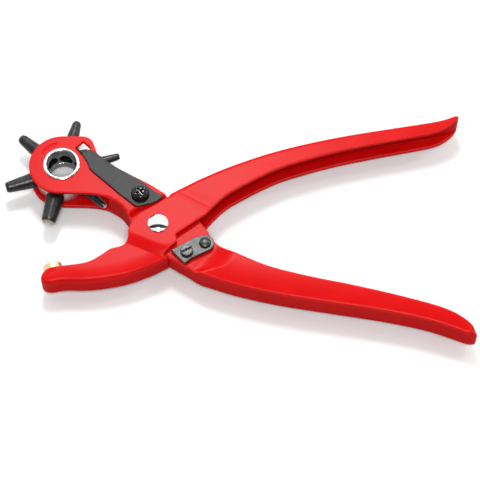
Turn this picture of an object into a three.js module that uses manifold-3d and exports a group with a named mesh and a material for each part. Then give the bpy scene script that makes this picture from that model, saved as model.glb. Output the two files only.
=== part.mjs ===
// Rotary hole punch for leather and belts. Two pressed sheet-steel levers turn on one rivet: the punch
// lever carries a turret of six punch tubes between its cheeks, and the anvil lever straddles it at the
// joint and carries a brass anvil in its jaw. Lengths are in mm. X runs towards the handles, Y across
// the tool from the lower handle to the upper one, and Z is the pivot axis. The origin is on that axis,
// at the flat underside of the rivet. Every shape is written about the tool's mid-plane, z = 0, and the
// whole tool is then raised by MID.
import * as THREE from "three";
import { mergeVertices } from "three/addons/utils/BufferGeometryUtils.js";
import Module from "manifold-3d";

const wasm = await Module();
wasm.setup();

// ---- Driving dimensions ----
const MID = 9.2; // height of the mid-plane over the resting plane
const SHEET = 2.0; // lever sheet thickness
const FAR = 200; // reach of a cutting outline past the tool
const DEEP = 30; // half height of a cut that goes right through
const ROUND = 32; // sides of a plain round piece
const FINE = 40; // sides of the turret's drum and bushes
const SMALL = 20; // sides of a small round piece
const TUBE_SIDES = 18; // sides of a tube and of its socket

const PUNCH_HALF = 7.5; // punch lever: half height of head and handle
const PUNCH_JOINT_HALF = 5.2; // punch lever: half height of the recess at the joint
const ANVIL_HALF = 7.5; // anvil lever: half height of the handle
const ANVIL_JOINT_HALF = 8.0; // anvil lever: half height of the joint cheeks
const JAW_HALF = 6.5; // anvil lever: half height of the jaw

const RIVET_R = 3.0;
const RIVET_HEAD_R = 4.7;
const RUNNING = 0.08; // radial clearance of a turning fit
const SEATING = 0.05; // gap left between pieces that rest on or screw into each other
const WELD = 1e-4; // corners closer than this are one

const TURRET = [-45.63, 31.56]; // turret axis
const TUBE_ANGLE = 18.07; // first tube's direction, degrees
const TUBE_COUNT = 6;
const TIP_R = 27.6; // turret axis to tube end
const DRUM_R = 13.2;
const DRUM_HALF = 5.0;
const DRUM_BORE_R = 7.0;
const SPIGOT_R = 3.2; // threaded root of a tube, in a tapped hole that opens into the drum's bore
const SPIGOT_START = 9.9; // turret axis to its inner end

// Tubes in order round the turret: bore diameter, tip diameter and base diameter.
const TUBES = [
  { bore: 2.5, tip: 3.4, base: 4.8 },
  { bore: 3.0, tip: 4.3, base: 6.7 },
  { bore: 3.5, tip: 4.9, base: 6.9 },
  { bore: 4.0, tip: 5.2, base: 7.4 },
  { bore: 5.0, tip: 6.8, base: 8.6 },
  { bore: 2.0, tip: 3.1, base: 4.6 },
];

const SCREW = [-8.5, 15.2]; // index spring screw
const SPRING_LEAF = 0.8; // index spring thickness
const LATCH_RIVET = [21.6, -9.8];
const LATCH_STUD = [13.3, -14.0];
const LATCH_BOTTOM = 5.6;
const LATCH_TOP = 7.2;
const ANVIL_FACE = [-48.2, -18.0]; // centre of the anvil's working face
const ANVIL_ANGLE = 103.4; // direction that face looks in
const ANVIL_R = 4.6;

// ---- Colours and finishes ----
const FINISH = {
  redPaint: { color: 0xe3201f, roughness: 0.4, metalness: 0.0 },
  blackSteel: { color: 0x2b2b2d, roughness: 0.45, metalness: 0.6 },
  springSteel: { color: 0x5a5a5c, roughness: 0.45, metalness: 0.8 },
  nickel: { color: 0xd8d8d6, roughness: 0.2, metalness: 1.0 },
  zinc: { color: 0xb9b7b6, roughness: 0.4, metalness: 0.9 },
  brass: { color: 0xcfa76a, roughness: 0.35, metalness: 1.0 },
};

// ---- Small tools for shapes ----
const rad = THREE.MathUtils.degToRad;

// Smooth run through a few points, cut into steps.
function curve(points, steps) {
  const knots = points.map(([x, y]) => new THREE.Vector2(x, y));
  return new THREE.SplineCurve(knots).getPoints(steps).map((p) => [p.x, p.y]);
}

// Points on an arc about a centre, from one angle to another in degrees.
function arc([cx, cy], r, from, to, steps) {
  return Array.from({ length: steps + 1 }, (_, i) => {
    const a = rad(from + ((to - from) * i) / steps);
    return [cx + r * Math.cos(a), cy + r * Math.sin(a)];
  });
}

// An open run of points moved sideways, to its left where d is positive.
function offset(points, d) {
  return points.map(([x, y], i) => {
    const [ax, ay] = points[Math.max(i - 1, 0)];
    const [bx, by] = points[Math.min(i + 1, points.length - 1)];
    const length = Math.hypot(bx - ax, by - ay);
    return [x - (d * (by - ay)) / length, y + (d * (bx - ax)) / length];
  });
}

// Point at a distance from a centre in a direction.
function polar([cx, cy], r, degrees) {
  return [cx + r * Math.cos(rad(degrees)), cy + r * Math.sin(rad(degrees))];
}

// A closed three.js geometry as a solid.
function solid(geometry) {
  const bare = geometry.clone();
  bare.deleteAttribute("normal");
  bare.deleteAttribute("uv");
  const merged = mergeVertices(bare, WELD);
  const mesh = new wasm.Mesh({
    numProp: 3,
    vertProperties: Float32Array.from(merged.attributes.position.array),
    triVerts: Uint32Array.from(merged.index.array),
  });
  return new wasm.Manifold(mesh);
}

// An outline given height from z0 to z1.
function slab(outline, z0, z1) {
  const shape = new THREE.Shape(outline.map(([x, y]) => new THREE.Vector2(x, y)));
  const geometry = new THREE.ExtrudeGeometry(shape, { depth: z1 - z0, bevelEnabled: false });
  return solid(geometry.translate(0, 0, z0));
}

// A round bar about Z.
function bar(r, z0, z1, [x, y] = [0, 0], sides = ROUND) {
  return slab(arc([x, y], r, 0, 360 - 360 / sides, sides - 1), z0, z1);
}

// A profile of [radius, height] points turned about Y. Counter-clockwise profiles face outwards.
function latheY(profile, sides) {
  const points = profile.map(([r, y]) => new THREE.Vector2(r, y));
  const ordered = THREE.ShapeUtils.area(points) > 0 ? points : points.reverse();
  if (ordered[0].x > 0 || ordered[ordered.length - 1].x > 0) ordered.push(ordered[0].clone());
  return new THREE.LatheGeometry(ordered, sides);
}

// The same profile turned about Z.
function turned(profile, sides = ROUND) {
  return solid(latheY(profile, sides).rotateX(Math.PI / 2));
}

// A plain ring or washer about Z.
function ring(inner, outer, z0, z1, sides = ROUND) {
  return turned([[inner, z0], [outer, z0], [outer, z1], [inner, z1]], sides);
}

// The exported tree: the tool group sits on its resting plane.
const group = new THREE.Group();
const tool = new THREE.Group();
tool.position.z = MID;
group.add(tool);

// Adds a named mesh made from a solid or a geometry.
function piece(name, shape, finish, parent = tool) {
  let geometry = shape;
  if (!shape.isBufferGeometry) {
    const mesh = shape.getMesh();
    const position = Float32Array.from(mesh.vertProperties);
    geometry = new THREE.BufferGeometry();
    geometry.setAttribute("position", new THREE.BufferAttribute(position, 3));
    geometry.setIndex(new THREE.BufferAttribute(Uint32Array.from(mesh.triVerts), 1));
    geometry.computeVertexNormals();
  }
  const mesh = new THREE.Mesh(geometry, new THREE.MeshStandardMaterial(FINISH[finish]));
  mesh.name = name;
  parent.add(mesh);
  return mesh;
}

// ---- Punch lever: head, neck, joint and lower handle in one pressed sheet ----
// Handle: outer wall from the joint to the beak, then the open inner edge back to the joint.
const punchHandleWall = curve(
  [[16, -23.4], [28.4, -28.3], [42, -32.4], [60, -36.4], [87, -41], [105, -44.2], [122.2, -48.3],
    [135, -52.9], [140.5, -55.4]],
  26,
);
// The wall goes on round the nose at the handle's end.
const punchNose = curve([[140.5, -55.4], [142.6, -55.9], [143.6, -54.8], [143.3, -53.2]], 6);
const NOSE_INSIDE = [[141.6, -53.8], [141.6, -52.8], [148, -40]];
const punchHandleEdge = curve(
  [[143.3, -53.2], [141, -50.2], [136.8, -46.6], [131.5, -43.5], [122.8, -40.2], [105, -35.1], [87.2, -30.7],
    [69.2, -26.7], [51.2, -21.7], [37.6, -15.6], [28.4, -10.4], [24.4, -6.2], [22.4, -2.2], [19, 2.5], [13, 9],
    [6, 13.4]],
  34,
);
// Neck: the edge away from the throat, up to the head.
const neckEdge = curve(
  [[4.5, 14.6], [0.5, 17.6], [-6.5, 22.2], [-15.4, 26.8], [-21.5, 29.6], [-26.5, 33.2], [-29.3, 37.6]],
  12,
);
// Head: a squared corner beside the window, then round about the turret.
const HEAD_R = 15.2;
const headEdge = [
  ...curve([[-30.6, 41.3], [-31.8, 44.2], [-34.6, 46.4], [-38.6, 46.8]], 6),
  ...arc(TURRET, HEAD_R, 90, 262, 18),
];
// Throat: the wall that joins the cheeks starts part of the way along it and runs on to the handle.
const throatEdge = curve([[-40, 16.3], [-34, 16.15], [-28.1, 15.5], [-24.4, 14.4]], 5);
const throatWall = curve(
  [[-23.4, 13.9], [-20.1, 11.9], [-17, 9.4], [-13.9, 4.9], [-12.6, 1.2], [-12.3, -2], [-11, -5.6], [-7.5, -9.7],
    [-3, -12.3], [1.8, -14.3], [5.7, -16.6], [10.3, -19.5], [15.8, -22.9]],
  26,
);
const punchWall = [...throatWall, ...punchHandleWall];

// The joint is lower than the rest, so that the anvil lever's cheeks can swing over it.
const jointRecess = [
  [5.5, 16.6], [2.1, 13.2], [-0.2, 11.3], [-2.9, 9.65], [-4.3, 9.3], [-6.4, 8.85], [-9, 7.6], [-12.55, 4.9],
  [-13.6, 3.4], [-18, 1.5], [-18, -27], [16.1, -27], [16.1, -23.3], [16.9, -18.6], [20.6, -17], [24.8, -13.8],
  [27.4, -9.5], [26.2, -6], [28, -2], [28, 16.6],
];
// The same recess grown by the sheet, where the inside steps from one height to the other.
const recessInside = offset([...jointRecess, jointRecess[0]], -SHEET);

const WINDOW_AT = [-36, 40.2];
const WINDOW_HALF = 3.7;
const LATCH_RIVET_R = 1.5;
const SCREW_R = 1.85;
const SCREW_CLEARANCE = 0.2;
const BUSH_R = 8.0;
const WALL_LEAD = { x: 1, y: 2 }; // how far a channel's outline runs past the start of its wall
const HEAD_MOUTH = 8; // the channel opens towards the head this far before its wall starts

function punchLever() {
  const handleEnd = [...punchNose.slice(1), ...punchHandleEdge.slice(1)];
  const outline = [...throatEdge, ...punchWall, ...handleEnd, ...neckEdge, ...headEdge];
  const [wallStart] = throatWall;
  const channel = [
    [wallStart[0] - WALL_LEAD.x, wallStart[1] - WALL_LEAD.y],
    ...offset(punchWall, SHEET),
    ...NOSE_INSIDE,
    [FAR, FAR], [-FAR, FAR], [-FAR, 0], [wallStart[0] - HEAD_MOUTH, 0],
  ];
  const innerHalf = PUNCH_HALF - SHEET;
  const jointInner = PUNCH_JOINT_HALF - SHEET;
  const high = slab(channel, -innerHalf, innerHalf).subtract(slab(recessInside, -DEEP, DEEP));
  let body = slab(outline, -PUNCH_HALF, PUNCH_HALF);
  body = body.subtract(slab(jointRecess, PUNCH_JOINT_HALF, DEEP));
  body = body.subtract(slab(jointRecess, -DEEP, -PUNCH_JOINT_HALF));
  body = body.subtract(high);
  body = body.subtract(slab(channel, -jointInner, jointInner));
  body = body.subtract(bar(RIVET_R + RUNNING, -DEEP, DEEP));
  body = body.subtract(bar(BUSH_R + RUNNING, -DEEP, DEEP, TURRET, FINE));
  body = body.subtract(bar(SCREW_R + SCREW_CLEARANCE, 0, DEEP, SCREW, SMALL));
  body = body.subtract(bar(LATCH_RIVET_R + RUNNING, 0, DEEP, LATCH_RIVET, SMALL));
  return body.subtract(slab(arc(WINDOW_AT, WINDOW_HALF, 0, 270, 3), 0, DEEP));
}
piece("punch_lever", punchLever(), "redPaint");

// ---- Anvil lever: jaw, joint cheeks and upper handle in one pressed sheet ----
const anvilHandleWall = curve(
  [[5.2, 16.1], [9.4, 18.8], [18.6, 24.1], [32.5, 30.9], [51.3, 38.2], [70.2, 43.7], [89, 48], [108, 51.5],
    [127, 54.9], [134.2, 56.6], [139.6, 58.8]],
  26,
);
const anvilHandleEdge = curve(
  [[21.6, 4.7], [24, 7.6], [28.3, 12.4], [32.9, 16.4], [42.2, 22.2], [51.5, 27.4], [60.9, 31.5], [79.7, 37.5],
    [98.5, 42.1], [117.4, 46.1], [126.9, 48.2], [132.2, 50], [136.3, 52.6], [139.4, 55.4], [141.2, 58]],
  32,
);
// Joint cheek: the lobe that swings over the punch lever, and the cut edge with the latch notch.
const lobeEdge = curve(
  [[4.4, 14.2], [2, 12.5], [-0.2, 10.8], [-3.9, 8.5], [-7, 6.6], [-9.7, 4.4], [-11.7, 1.7], [-13, -0.9],
    [-13.7, -3.5]],
  12,
);
const cutEdge = [[2.7, -15.2], [4.8, -12.6], [6.6, -11], [8.8, -9.2], [8.7, -7.9], [8.2, -5.4], [19.2, 2.9]];
// Jaw: the throat edge, the rounded tip round the anvil, and the outer wall back to the joint.
const jawEdge = curve(
  [[-13.7, -3.5], [-13.9, -7.4], [-16.2, -10.6], [-21.6, -12.3], [-25.3, -15.1], [-30.4, -18.4], [-35.1, -19.8],
    [-43.2, -20.9], [-48, -21.6], [-50.6, -22.2]],
  24,
);
const jawWall = curve(
  [[-51.4, -22.6], [-52.6, -24.8], [-52.7, -27.1], [-51.3, -29], [-48.1, -29.6], [-43.5, -28.7], [-40.3, -28.5],
    [-31.2, -28.5], [-22, -27.2], [-12.9, -24.9], [-3.8, -21.2], [0.7, -18.9], [4.7, -16.5]],
  30,
);

// Everything on the left of the line from a to b.
function leftOf([ax, ay], [bx, by]) {
  const length = Math.hypot(bx - ax, by - ay);
  const [dx, dy] = [((bx - ax) / length) * FAR, ((by - ay) / length) * FAR];
  return [[ax - dx, ay - dy], [bx + dx, by + dy], [bx + dx - dy, by + dy + dx], [ax - dx - dy, ay - dy + dx]];
}
const JAW_CREASE = [[1.6, -16], [-13.6, -9.3]]; // the jaw is lower from here on
const JAW_INSIDE = [[1.16, -14.7], [-14.04, -8]]; // and so is its inside, clear of the punch lever
const HANDLE_CREASE = [[15.4, 13.5], [24.7, 8.2]];

// Material outside a half height, on one side of a crease.
function outside(half, [a, b]) {
  return slab(leftOf(a, b), half, DEEP).add(slab(leftOf(a, b), -DEEP, -half));
}

function anvilLever() {
  const outline = [
    ...anvilHandleWall.slice().reverse(), ...lobeEdge, ...jawEdge.slice(1), ...jawWall, ...cutEdge,
    ...anvilHandleEdge,
  ];
  const [wallStart] = anvilHandleWall;
  const channel = [
    [wallStart[0] - WALL_LEAD.x, wallStart[1] + WALL_LEAD.y],
    ...offset(anvilHandleWall, -SHEET),
    [FAR, FAR / 3], [FAR, -FAR], [-FAR, -FAR], [-FAR, FAR],
  ];
  const jawChannel = [...offset(jawWall, SHEET), [0, 0], [-30, 0], [-50, -12]];
  const jointInner = ANVIL_JOINT_HALF - SHEET;
  const handleInner = ANVIL_HALF - SHEET;
  const jawInner = JAW_HALF - SHEET;
  const jawSide = slab(leftOf(...JAW_INSIDE), -DEEP, DEEP);
  const handleSide = slab(leftOf(...HANDLE_CREASE), -DEEP, DEEP);
  let body = slab(outline, -ANVIL_JOINT_HALF, ANVIL_JOINT_HALF);
  body = body.subtract(outside(JAW_HALF, JAW_CREASE));
  body = body.subtract(outside(ANVIL_HALF, HANDLE_CREASE));
  body = body.subtract(slab(channel, -jointInner, jointInner).subtract(jawSide).subtract(handleSide));
  body = body.subtract(slab(channel, -handleInner, handleInner).subtract(jawSide));
  body = body.subtract(slab(jawChannel, -jawInner, jawInner));
  return body.subtract(bar(RIVET_R + RUNNING, -DEEP, DEEP));
}
piece("anvil_lever", anvilLever(), "redPaint");

// Anvil: a brass button on a stem, pressed into a seat block that fills the jaw's tip.
const ANVIL_THICK = 3.0;
const ANVIL_BEVEL = 0.3;
const STEM_R = 2.0;
const STEM_END = 6.6;
const STEM_HOLE_END = 7;
const SEAT_DROP = 3.3; // working face to the seat's top
const SEAT_HALF = 4.2;
const SEAT_X = -42.2; // the seat's end towards the joint
const SEAT_GAP = 0.3; // seat to the jaw's wall

const anvilProfile = [
  [0, 0], [ANVIL_R - ANVIL_BEVEL, 0], [ANVIL_R, -ANVIL_BEVEL], [ANVIL_R, -ANVIL_THICK],
  [STEM_R, -ANVIL_THICK], [STEM_R, -STEM_END], [0, -STEM_END],
];
const anvil = piece("anvil", latheY(anvilProfile, ROUND), "brass");
anvil.position.set(...ANVIL_FACE, 0);
anvil.rotation.z = rad(ANVIL_ANGLE - 90);

function anvilSeat() {
  const tip = offset(jawWall, SHEET + SEAT_GAP).filter(([x]) => x < SEAT_X);
  const block = slab([...tip, [SEAT_X, -18], [-49.2, -20]], -SEAT_HALF, SEAT_HALF);
  const top = polar(ANVIL_FACE, -SEAT_DROP, ANVIL_ANGLE);
  const under = slab(leftOf(top, polar(top, 1, ANVIL_ANGLE + 90)), -DEEP, DEEP);
  const holeR = STEM_R + SEATING;
  const hole = latheY([[0, 0], [holeR, 0], [holeR, -STEM_HOLE_END], [0, -STEM_HOLE_END]], ROUND);
  hole.rotateZ(rad(ANVIL_ANGLE - 90)).translate(...ANVIL_FACE, 0);
  return block.intersect(under).subtract(solid(hole));
}
piece("anvil_seat", anvilSeat(), "blackSteel");

// ---- Pivot: rivet, sleeve, two washers and the opening spring ----
const RIVET_UNDER = ANVIL_JOINT_HALF + SEATING;
const rivetProfile = [
  [0, -MID], [4.3, -MID], [RIVET_HEAD_R, -8.8], [RIVET_HEAD_R, -RIVET_UNDER], [RIVET_R, -RIVET_UNDER],
  [RIVET_R, RIVET_UNDER], [RIVET_HEAD_R, RIVET_UNDER], [RIVET_HEAD_R, 8.5], [4.1, 8.9], [2.4, 9.15], [0, 9.25],
];
piece("pivot_rivet", turned(rivetProfile), "nickel");

const SLEEVE_R = 4.0;
const SLEEVE_HALF = 3.1;
piece("pivot_sleeve", ring(RIVET_R + RUNNING, SLEEVE_R, -SLEEVE_HALF, SLEEVE_HALF), "blackSteel");

const WASHER_R = 6.5;
const WASHER = [5.3, 5.9]; // between the punch lever's recess and the anvil lever's cheek
piece("pivot_washer_upper", ring(RIVET_R + RUNNING, WASHER_R, WASHER[0], WASHER[1]), "blackSteel");
piece("pivot_washer_lower", ring(RIVET_R + RUNNING, WASHER_R, -WASHER[1], -WASHER[0]), "blackSteel");

// Torsion spring: a leg on the punch lever's wall, the coil round the sleeve, a leg on the anvil
// lever's wall. Both legs leave the coil along its tangent.
const WIRE_R = 0.65;
const WIRE_SIDES = 6;
const WIRE_STEPS = 66;
const COIL_STEPS = 40;
const COIL_R = 5.0;
const COIL_HALF = 2.1;
const COIL_FROM = 9.5;
const COIL_TURN = 1043.2;
const LOWER_LEG_END = [7.3, -13.8];
const UPPER_LEG_END = [14.6, 17.4];
function springWire() {
  const points = [new THREE.Vector3(...LOWER_LEG_END, -COIL_HALF)];
  for (let i = 0; i <= COIL_STEPS; i += 1) {
    const t = i / COIL_STEPS;
    const [x, y] = polar([0, 0], COIL_R, COIL_FROM + COIL_TURN * t);
    points.push(new THREE.Vector3(x, y, COIL_HALF * (2 * t - 1)));
  }
  points.push(new THREE.Vector3(...UPPER_LEG_END, COIL_HALF));
  const round = arc([0, 0], WIRE_R, 0, 360 - 360 / WIRE_SIDES, WIRE_SIDES - 1);
  const section = new THREE.Shape(round.map(([x, y]) => new THREE.Vector2(x, y)));
  const spine = new THREE.CatmullRomCurve3(points, false, "centripetal");
  return new THREE.ExtrudeGeometry(section, { steps: WIRE_STEPS, extrudePath: spine, bevelEnabled: false });
}
piece("opening_spring", springWire(), "springSteel");

// ---- Turret: the drum turns on the barrels of two eyelet bushes, and holds six screwed-in tubes ----
const turret = new THREE.Group();
turret.position.set(...TURRET, 0);
tool.add(turret);

const SHOULDER = 3.5; // half height of the drum between the two bush seats
const SEAT_R = BUSH_R + 0.12; // bush seat in the drum
const DRUM_BEVEL = 0.5;
const drumProfile = [
  [DRUM_BORE_R, -SHOULDER], [SEAT_R, -SHOULDER], [SEAT_R, -DRUM_HALF], [DRUM_R - DRUM_BEVEL, -DRUM_HALF],
  [DRUM_R, DRUM_BEVEL - DRUM_HALF], [DRUM_R, DRUM_HALF - DRUM_BEVEL], [DRUM_R - DRUM_BEVEL, DRUM_HALF],
  [SEAT_R, DRUM_HALF], [SEAT_R, SHOULDER], [DRUM_BORE_R, SHOULDER],
];
const DETENT_AT = 12.3; // radius of the ring of index dimples
const DETENT_R = 1.4;
const DETENT_RISE = 0.6; // height of a dimple's ball centre over the drum's face

function turretDrum() {
  const socketR = SPIGOT_R + SEATING;
  const clear = DRUM_R + SHEET;
  const socket = [[0, 0], [socketR, 0], [socketR, clear], [0, clear]];
  let drum = turned(drumProfile, FINE);
  for (let i = 0; i < TUBE_COUNT; i += 1) {
    const angle = TUBE_ANGLE + (360 / TUBE_COUNT) * i;
    drum = drum.subtract(solid(latheY(socket, TUBE_SIDES).rotateZ(rad(angle - 90))));
    const [x, y] = polar([0, 0], DETENT_AT, angle + 180 / TUBE_COUNT);
    const ball = new THREE.SphereGeometry(DETENT_R, 8, 6).translate(x, y, DRUM_HALF + DETENT_RISE);
    drum = drum.subtract(solid(ball));
  }
  return drum;
}
piece("turret_drum", turretDrum(), "zinc", turret);

const COLLAR_R = 3.6;
const COLLAR = [13.45, 15.0]; // from and to, along the tube
const COLLAR_SLOPE = 0.3;
const SLUG_EASE = 0.15; // the bore widens behind the cutting edge
const CUT_LENGTH = 3; // and is straight for this length
const CUT_LAND = 0.14; // width of the cutting edge
const CHAMFER = 1.3;
TUBES.forEach(({ bore, tip, base }, i) => {
  const cut = bore / 2;
  const collar = Math.max(COLLAR_R, base / 2);
  const profile = [
    [cut + SLUG_EASE, SPIGOT_START], [SPIGOT_R, SPIGOT_START], [SPIGOT_R, COLLAR[0]], [collar, COLLAR[0]],
    [collar, COLLAR[1] - COLLAR_SLOPE], [base / 2, COLLAR[1]], [tip / 2, TIP_R - CHAMFER],
    [cut + CUT_LAND, TIP_R], [cut, TIP_R], [cut, TIP_R - CUT_LENGTH],
  ];
  const size = bore.toFixed(1).replace(".", "_");
  const tube = piece(`punch_tube_${size}_mm`, latheY(profile, TUBE_SIDES), "blackSteel", turret);
  tube.rotation.z = rad(TUBE_ANGLE + (360 / TUBE_COUNT) * i - 90);
});

// Eyelet bush: a flange on the cheek and a barrel through it into the drum.
const FLANGE_R = 8.55;
const FLANGE = [PUNCH_HALF + SEATING, 8.2]; // from and to, in height
const FLANGE_BEVEL = 0.3;
const BARREL_END = 3.75;
const bushProfile = [
  [DRUM_BORE_R, BARREL_END], [BUSH_R, BARREL_END], [BUSH_R, FLANGE[0]], [FLANGE_R, FLANGE[0]],
  [FLANGE_R, FLANGE[1] - FLANGE_BEVEL], [FLANGE_R - FLANGE_BEVEL, FLANGE[1]],
  [DRUM_BORE_R + FLANGE_BEVEL, FLANGE[1]], [DRUM_BORE_R, FLANGE[1] - FLANGE_BEVEL],
];
piece("turret_bush_upper", turned(bushProfile, FINE), "nickel", turret);
const lowerBush = piece("turret_bush_lower", turned(bushProfile, FINE), "nickel", turret);
lowerBush.rotation.x = Math.PI;

// ---- Index spring: a leaf on the upper cheek whose rolled tip reaches the drum through the window ----
const LEAF_Z = PUNCH_HALF + SEATING; // underside of the leaf
const LEAF_HOLE_R = SCREW_R + 0.3;
const leafOutline = [
  ...curve([[-36.1, 36.2], [-37, 38], [-35.4, 38.9], [-33.2, 38.8], [-31.3, 38.5], [-29.1, 36.7]], 8),
  ...curve(
    [[-26.3, 34.6], [-22.9, 31.7], [-18.2, 28.4], [-10.6, 23.8], [-6.4, 20.6], [-3.1, 17.5], [0.7, 15.1]],
    10,
  ),
  [2.1, 13.7], [-0.4, 11.5], [-3.2, 10.2], [-6.4, 9.4], [-9.3, 8.7], [-11.2, 9.1], [-14, 11.7],
  [-17.8, 14.9], [-22.5, 19.3], [-31.1, 27.3], [-32.6, 29], [-33.9, 32.7],
];
const FINGER = [[-37.2, 38.1], [-34.8, 38.1], [-35, 39.6], [-37, 39.6]];
const FINGER_END = DRUM_HALF + 0.35; // the finger's end, just over the drum
function indexSpring() {
  const leaf = slab(leafOutline, LEAF_Z, LEAF_Z + SPRING_LEAF);
  const finger = slab(FINGER, FINGER_END, LEAF_Z + SPRING_LEAF);
  return leaf.add(finger).subtract(bar(LEAF_HOLE_R, 0, DEEP, SCREW, SMALL));
}
piece("index_spring", indexSpring(), "springSteel");

// Pan-head cross-recess screw, with its nut inside the lever.
const SCREW_END = 2.3;
const SCREW_HEAD_R = 4.1;
const HEAD_UNDER = LEAF_Z + SPRING_LEAF + SEATING;
const HEAD_TOP = 11.3;
const CROSS = { width: 1.0, length: 4.4, height: 4, floor: 9.7, turn: 35 };
function indexScrew() {
  const profile = [
    [0, SCREW_END], [SCREW_R, SCREW_END], [SCREW_R, HEAD_UNDER], [SCREW_HEAD_R, HEAD_UNDER],
    [SCREW_HEAD_R, 9.6], [3.5, 10.8], [1.8, 11.25], [0, HEAD_TOP],
  ];
  let screw = turned(profile, SMALL);
  for (const turn of [CROSS.turn, CROSS.turn + 90]) {
    const slot = new THREE.BoxGeometry(CROSS.length, CROSS.width, CROSS.height);
    screw = screw.subtract(solid(slot.rotateZ(rad(turn)).translate(0, 0, CROSS.floor + CROSS.height / 2)));
  }
  return screw;
}
piece("index_spring_screw", indexScrew(), "blackSteel").position.set(...SCREW, 0);

const NUT = { r: 3.5, bore: SCREW_R + 0.1, from: 2.8, to: 5.4 };
const hexagon = slab(arc([0, 0], NUT.r, 0, 300, 5), NUT.from, NUT.to);
const nut = hexagon.subtract(bar(NUT.bore, 0, DEEP, [0, 0], SMALL));
piece("index_spring_nut", nut, "blackSteel").position.set(...SCREW, 0);

// ---- Latch: a plate on its own rivet that swings into the anvil lever's notch to keep the tool shut ----
const LATCH_END_R = 4.1;
const STUD_R = 2.95;
const STUD_TOP = 8.7;
const STUD_SHANK_R = 1.4;
const latchOutline = [
  [6.1, -13.4], [12.4, -20.2], [15.8, -17.3], ...arc(LATCH_RIVET, LATCH_END_R, -68, 105, 12), [17.4, -6.5],
];
const plate = slab(latchOutline, LATCH_BOTTOM, LATCH_TOP)
  .subtract(bar(LATCH_RIVET_R + RUNNING, 0, DEEP, LATCH_RIVET, SMALL))
  .subtract(bar(STUD_SHANK_R + SEATING, 0, DEEP, LATCH_STUD, SMALL));
piece("latch_plate", plate, "springSteel");

const RIVET_TAIL = PUNCH_JOINT_HALF - SHEET - SEATING;
const ON_LATCH = LATCH_TOP + SEATING; // underside of the heads that hold the plate
const latchRivetProfile = [
  [0, 2.4], [2.1, 2.4], [2.3, 2.6], [2.3, RIVET_TAIL], [LATCH_RIVET_R, RIVET_TAIL],
  [LATCH_RIVET_R, ON_LATCH], [2.7, ON_LATCH], [2.7, 7.7], [2.2, 8.3], [1.2, 8.7], [0, 8.8],
];
piece("latch_rivet", turned(latchRivetProfile, SMALL), "springSteel").position.set(...LATCH_RIVET, 0);
const LATCH_WASHER = { r: 3.4, from: PUNCH_JOINT_HALF + SEATING, to: LATCH_BOTTOM - SEATING };
const latchWasher = ring(LATCH_RIVET_R + RUNNING, LATCH_WASHER.r, LATCH_WASHER.from, LATCH_WASHER.to, SMALL);
piece("latch_washer", latchWasher, "springSteel").position.set(...LATCH_RIVET, 0);

const STUD_BEVEL = 0.3;
const STUD_SLOT = { length: 8, width: 0.9, height: 2, floor: STUD_TOP - 0.8, turn: 5 };
function latchStud() {
  const profile = [
    [0, LATCH_BOTTOM], [STUD_SHANK_R, LATCH_BOTTOM], [STUD_SHANK_R, ON_LATCH], [STUD_R, ON_LATCH],
    [STUD_R, STUD_TOP - STUD_BEVEL], [STUD_R - STUD_BEVEL, STUD_TOP], [0, STUD_TOP],
  ];
  const slot = new THREE.BoxGeometry(STUD_SLOT.length, STUD_SLOT.width, STUD_SLOT.height);
  slot.rotateZ(rad(STUD_SLOT.turn)).translate(0, 0, STUD_SLOT.floor + STUD_SLOT.height / 2);
  return turned(profile, SMALL).subtract(solid(slot));
}
piece("latch_stud", latchStud(), "springSteel").position.set(...LATCH_STUD, 0);

export default group;
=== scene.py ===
import math

import bpy
import numpy as np
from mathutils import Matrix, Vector


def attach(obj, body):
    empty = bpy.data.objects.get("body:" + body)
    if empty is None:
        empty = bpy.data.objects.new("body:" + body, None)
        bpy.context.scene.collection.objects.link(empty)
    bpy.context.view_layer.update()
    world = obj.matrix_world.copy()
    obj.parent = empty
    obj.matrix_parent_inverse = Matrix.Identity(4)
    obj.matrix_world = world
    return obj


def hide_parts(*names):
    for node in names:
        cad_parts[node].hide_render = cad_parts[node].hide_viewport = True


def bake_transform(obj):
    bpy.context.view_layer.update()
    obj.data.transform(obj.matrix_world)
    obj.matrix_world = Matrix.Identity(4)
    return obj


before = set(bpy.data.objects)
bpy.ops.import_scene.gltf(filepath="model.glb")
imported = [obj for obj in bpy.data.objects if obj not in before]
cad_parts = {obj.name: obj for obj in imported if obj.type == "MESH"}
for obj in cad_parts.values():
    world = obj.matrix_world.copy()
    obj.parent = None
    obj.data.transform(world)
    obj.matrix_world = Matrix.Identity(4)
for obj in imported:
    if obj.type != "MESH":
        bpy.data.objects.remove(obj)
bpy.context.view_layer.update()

# ---- Driving dimensions, in millimetres ----
MM = 0.001
MID = 9.2  # height of the mid-plane over the floor
SHEET = 2.0  # lever sheet thickness
FAR = 200.0  # reach of a cutting outline past the tool

PUNCH_HALF = 7.5  # punch lever: half height of head and handle
PUNCH_JOINT_HALF = 5.2  # punch lever: half height of the recess at the joint
ANVIL_HALF = 7.5  # anvil lever: half height of the handle
ANVIL_JOINT_HALF = 8.0  # anvil lever: half height of the joint cheeks
JAW_HALF = 6.5  # anvil lever: half height of the jaw

RUNNING = 0.08  # radial clearance of a turning fit
GAP = 0.05  # between pieces that touch

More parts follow.
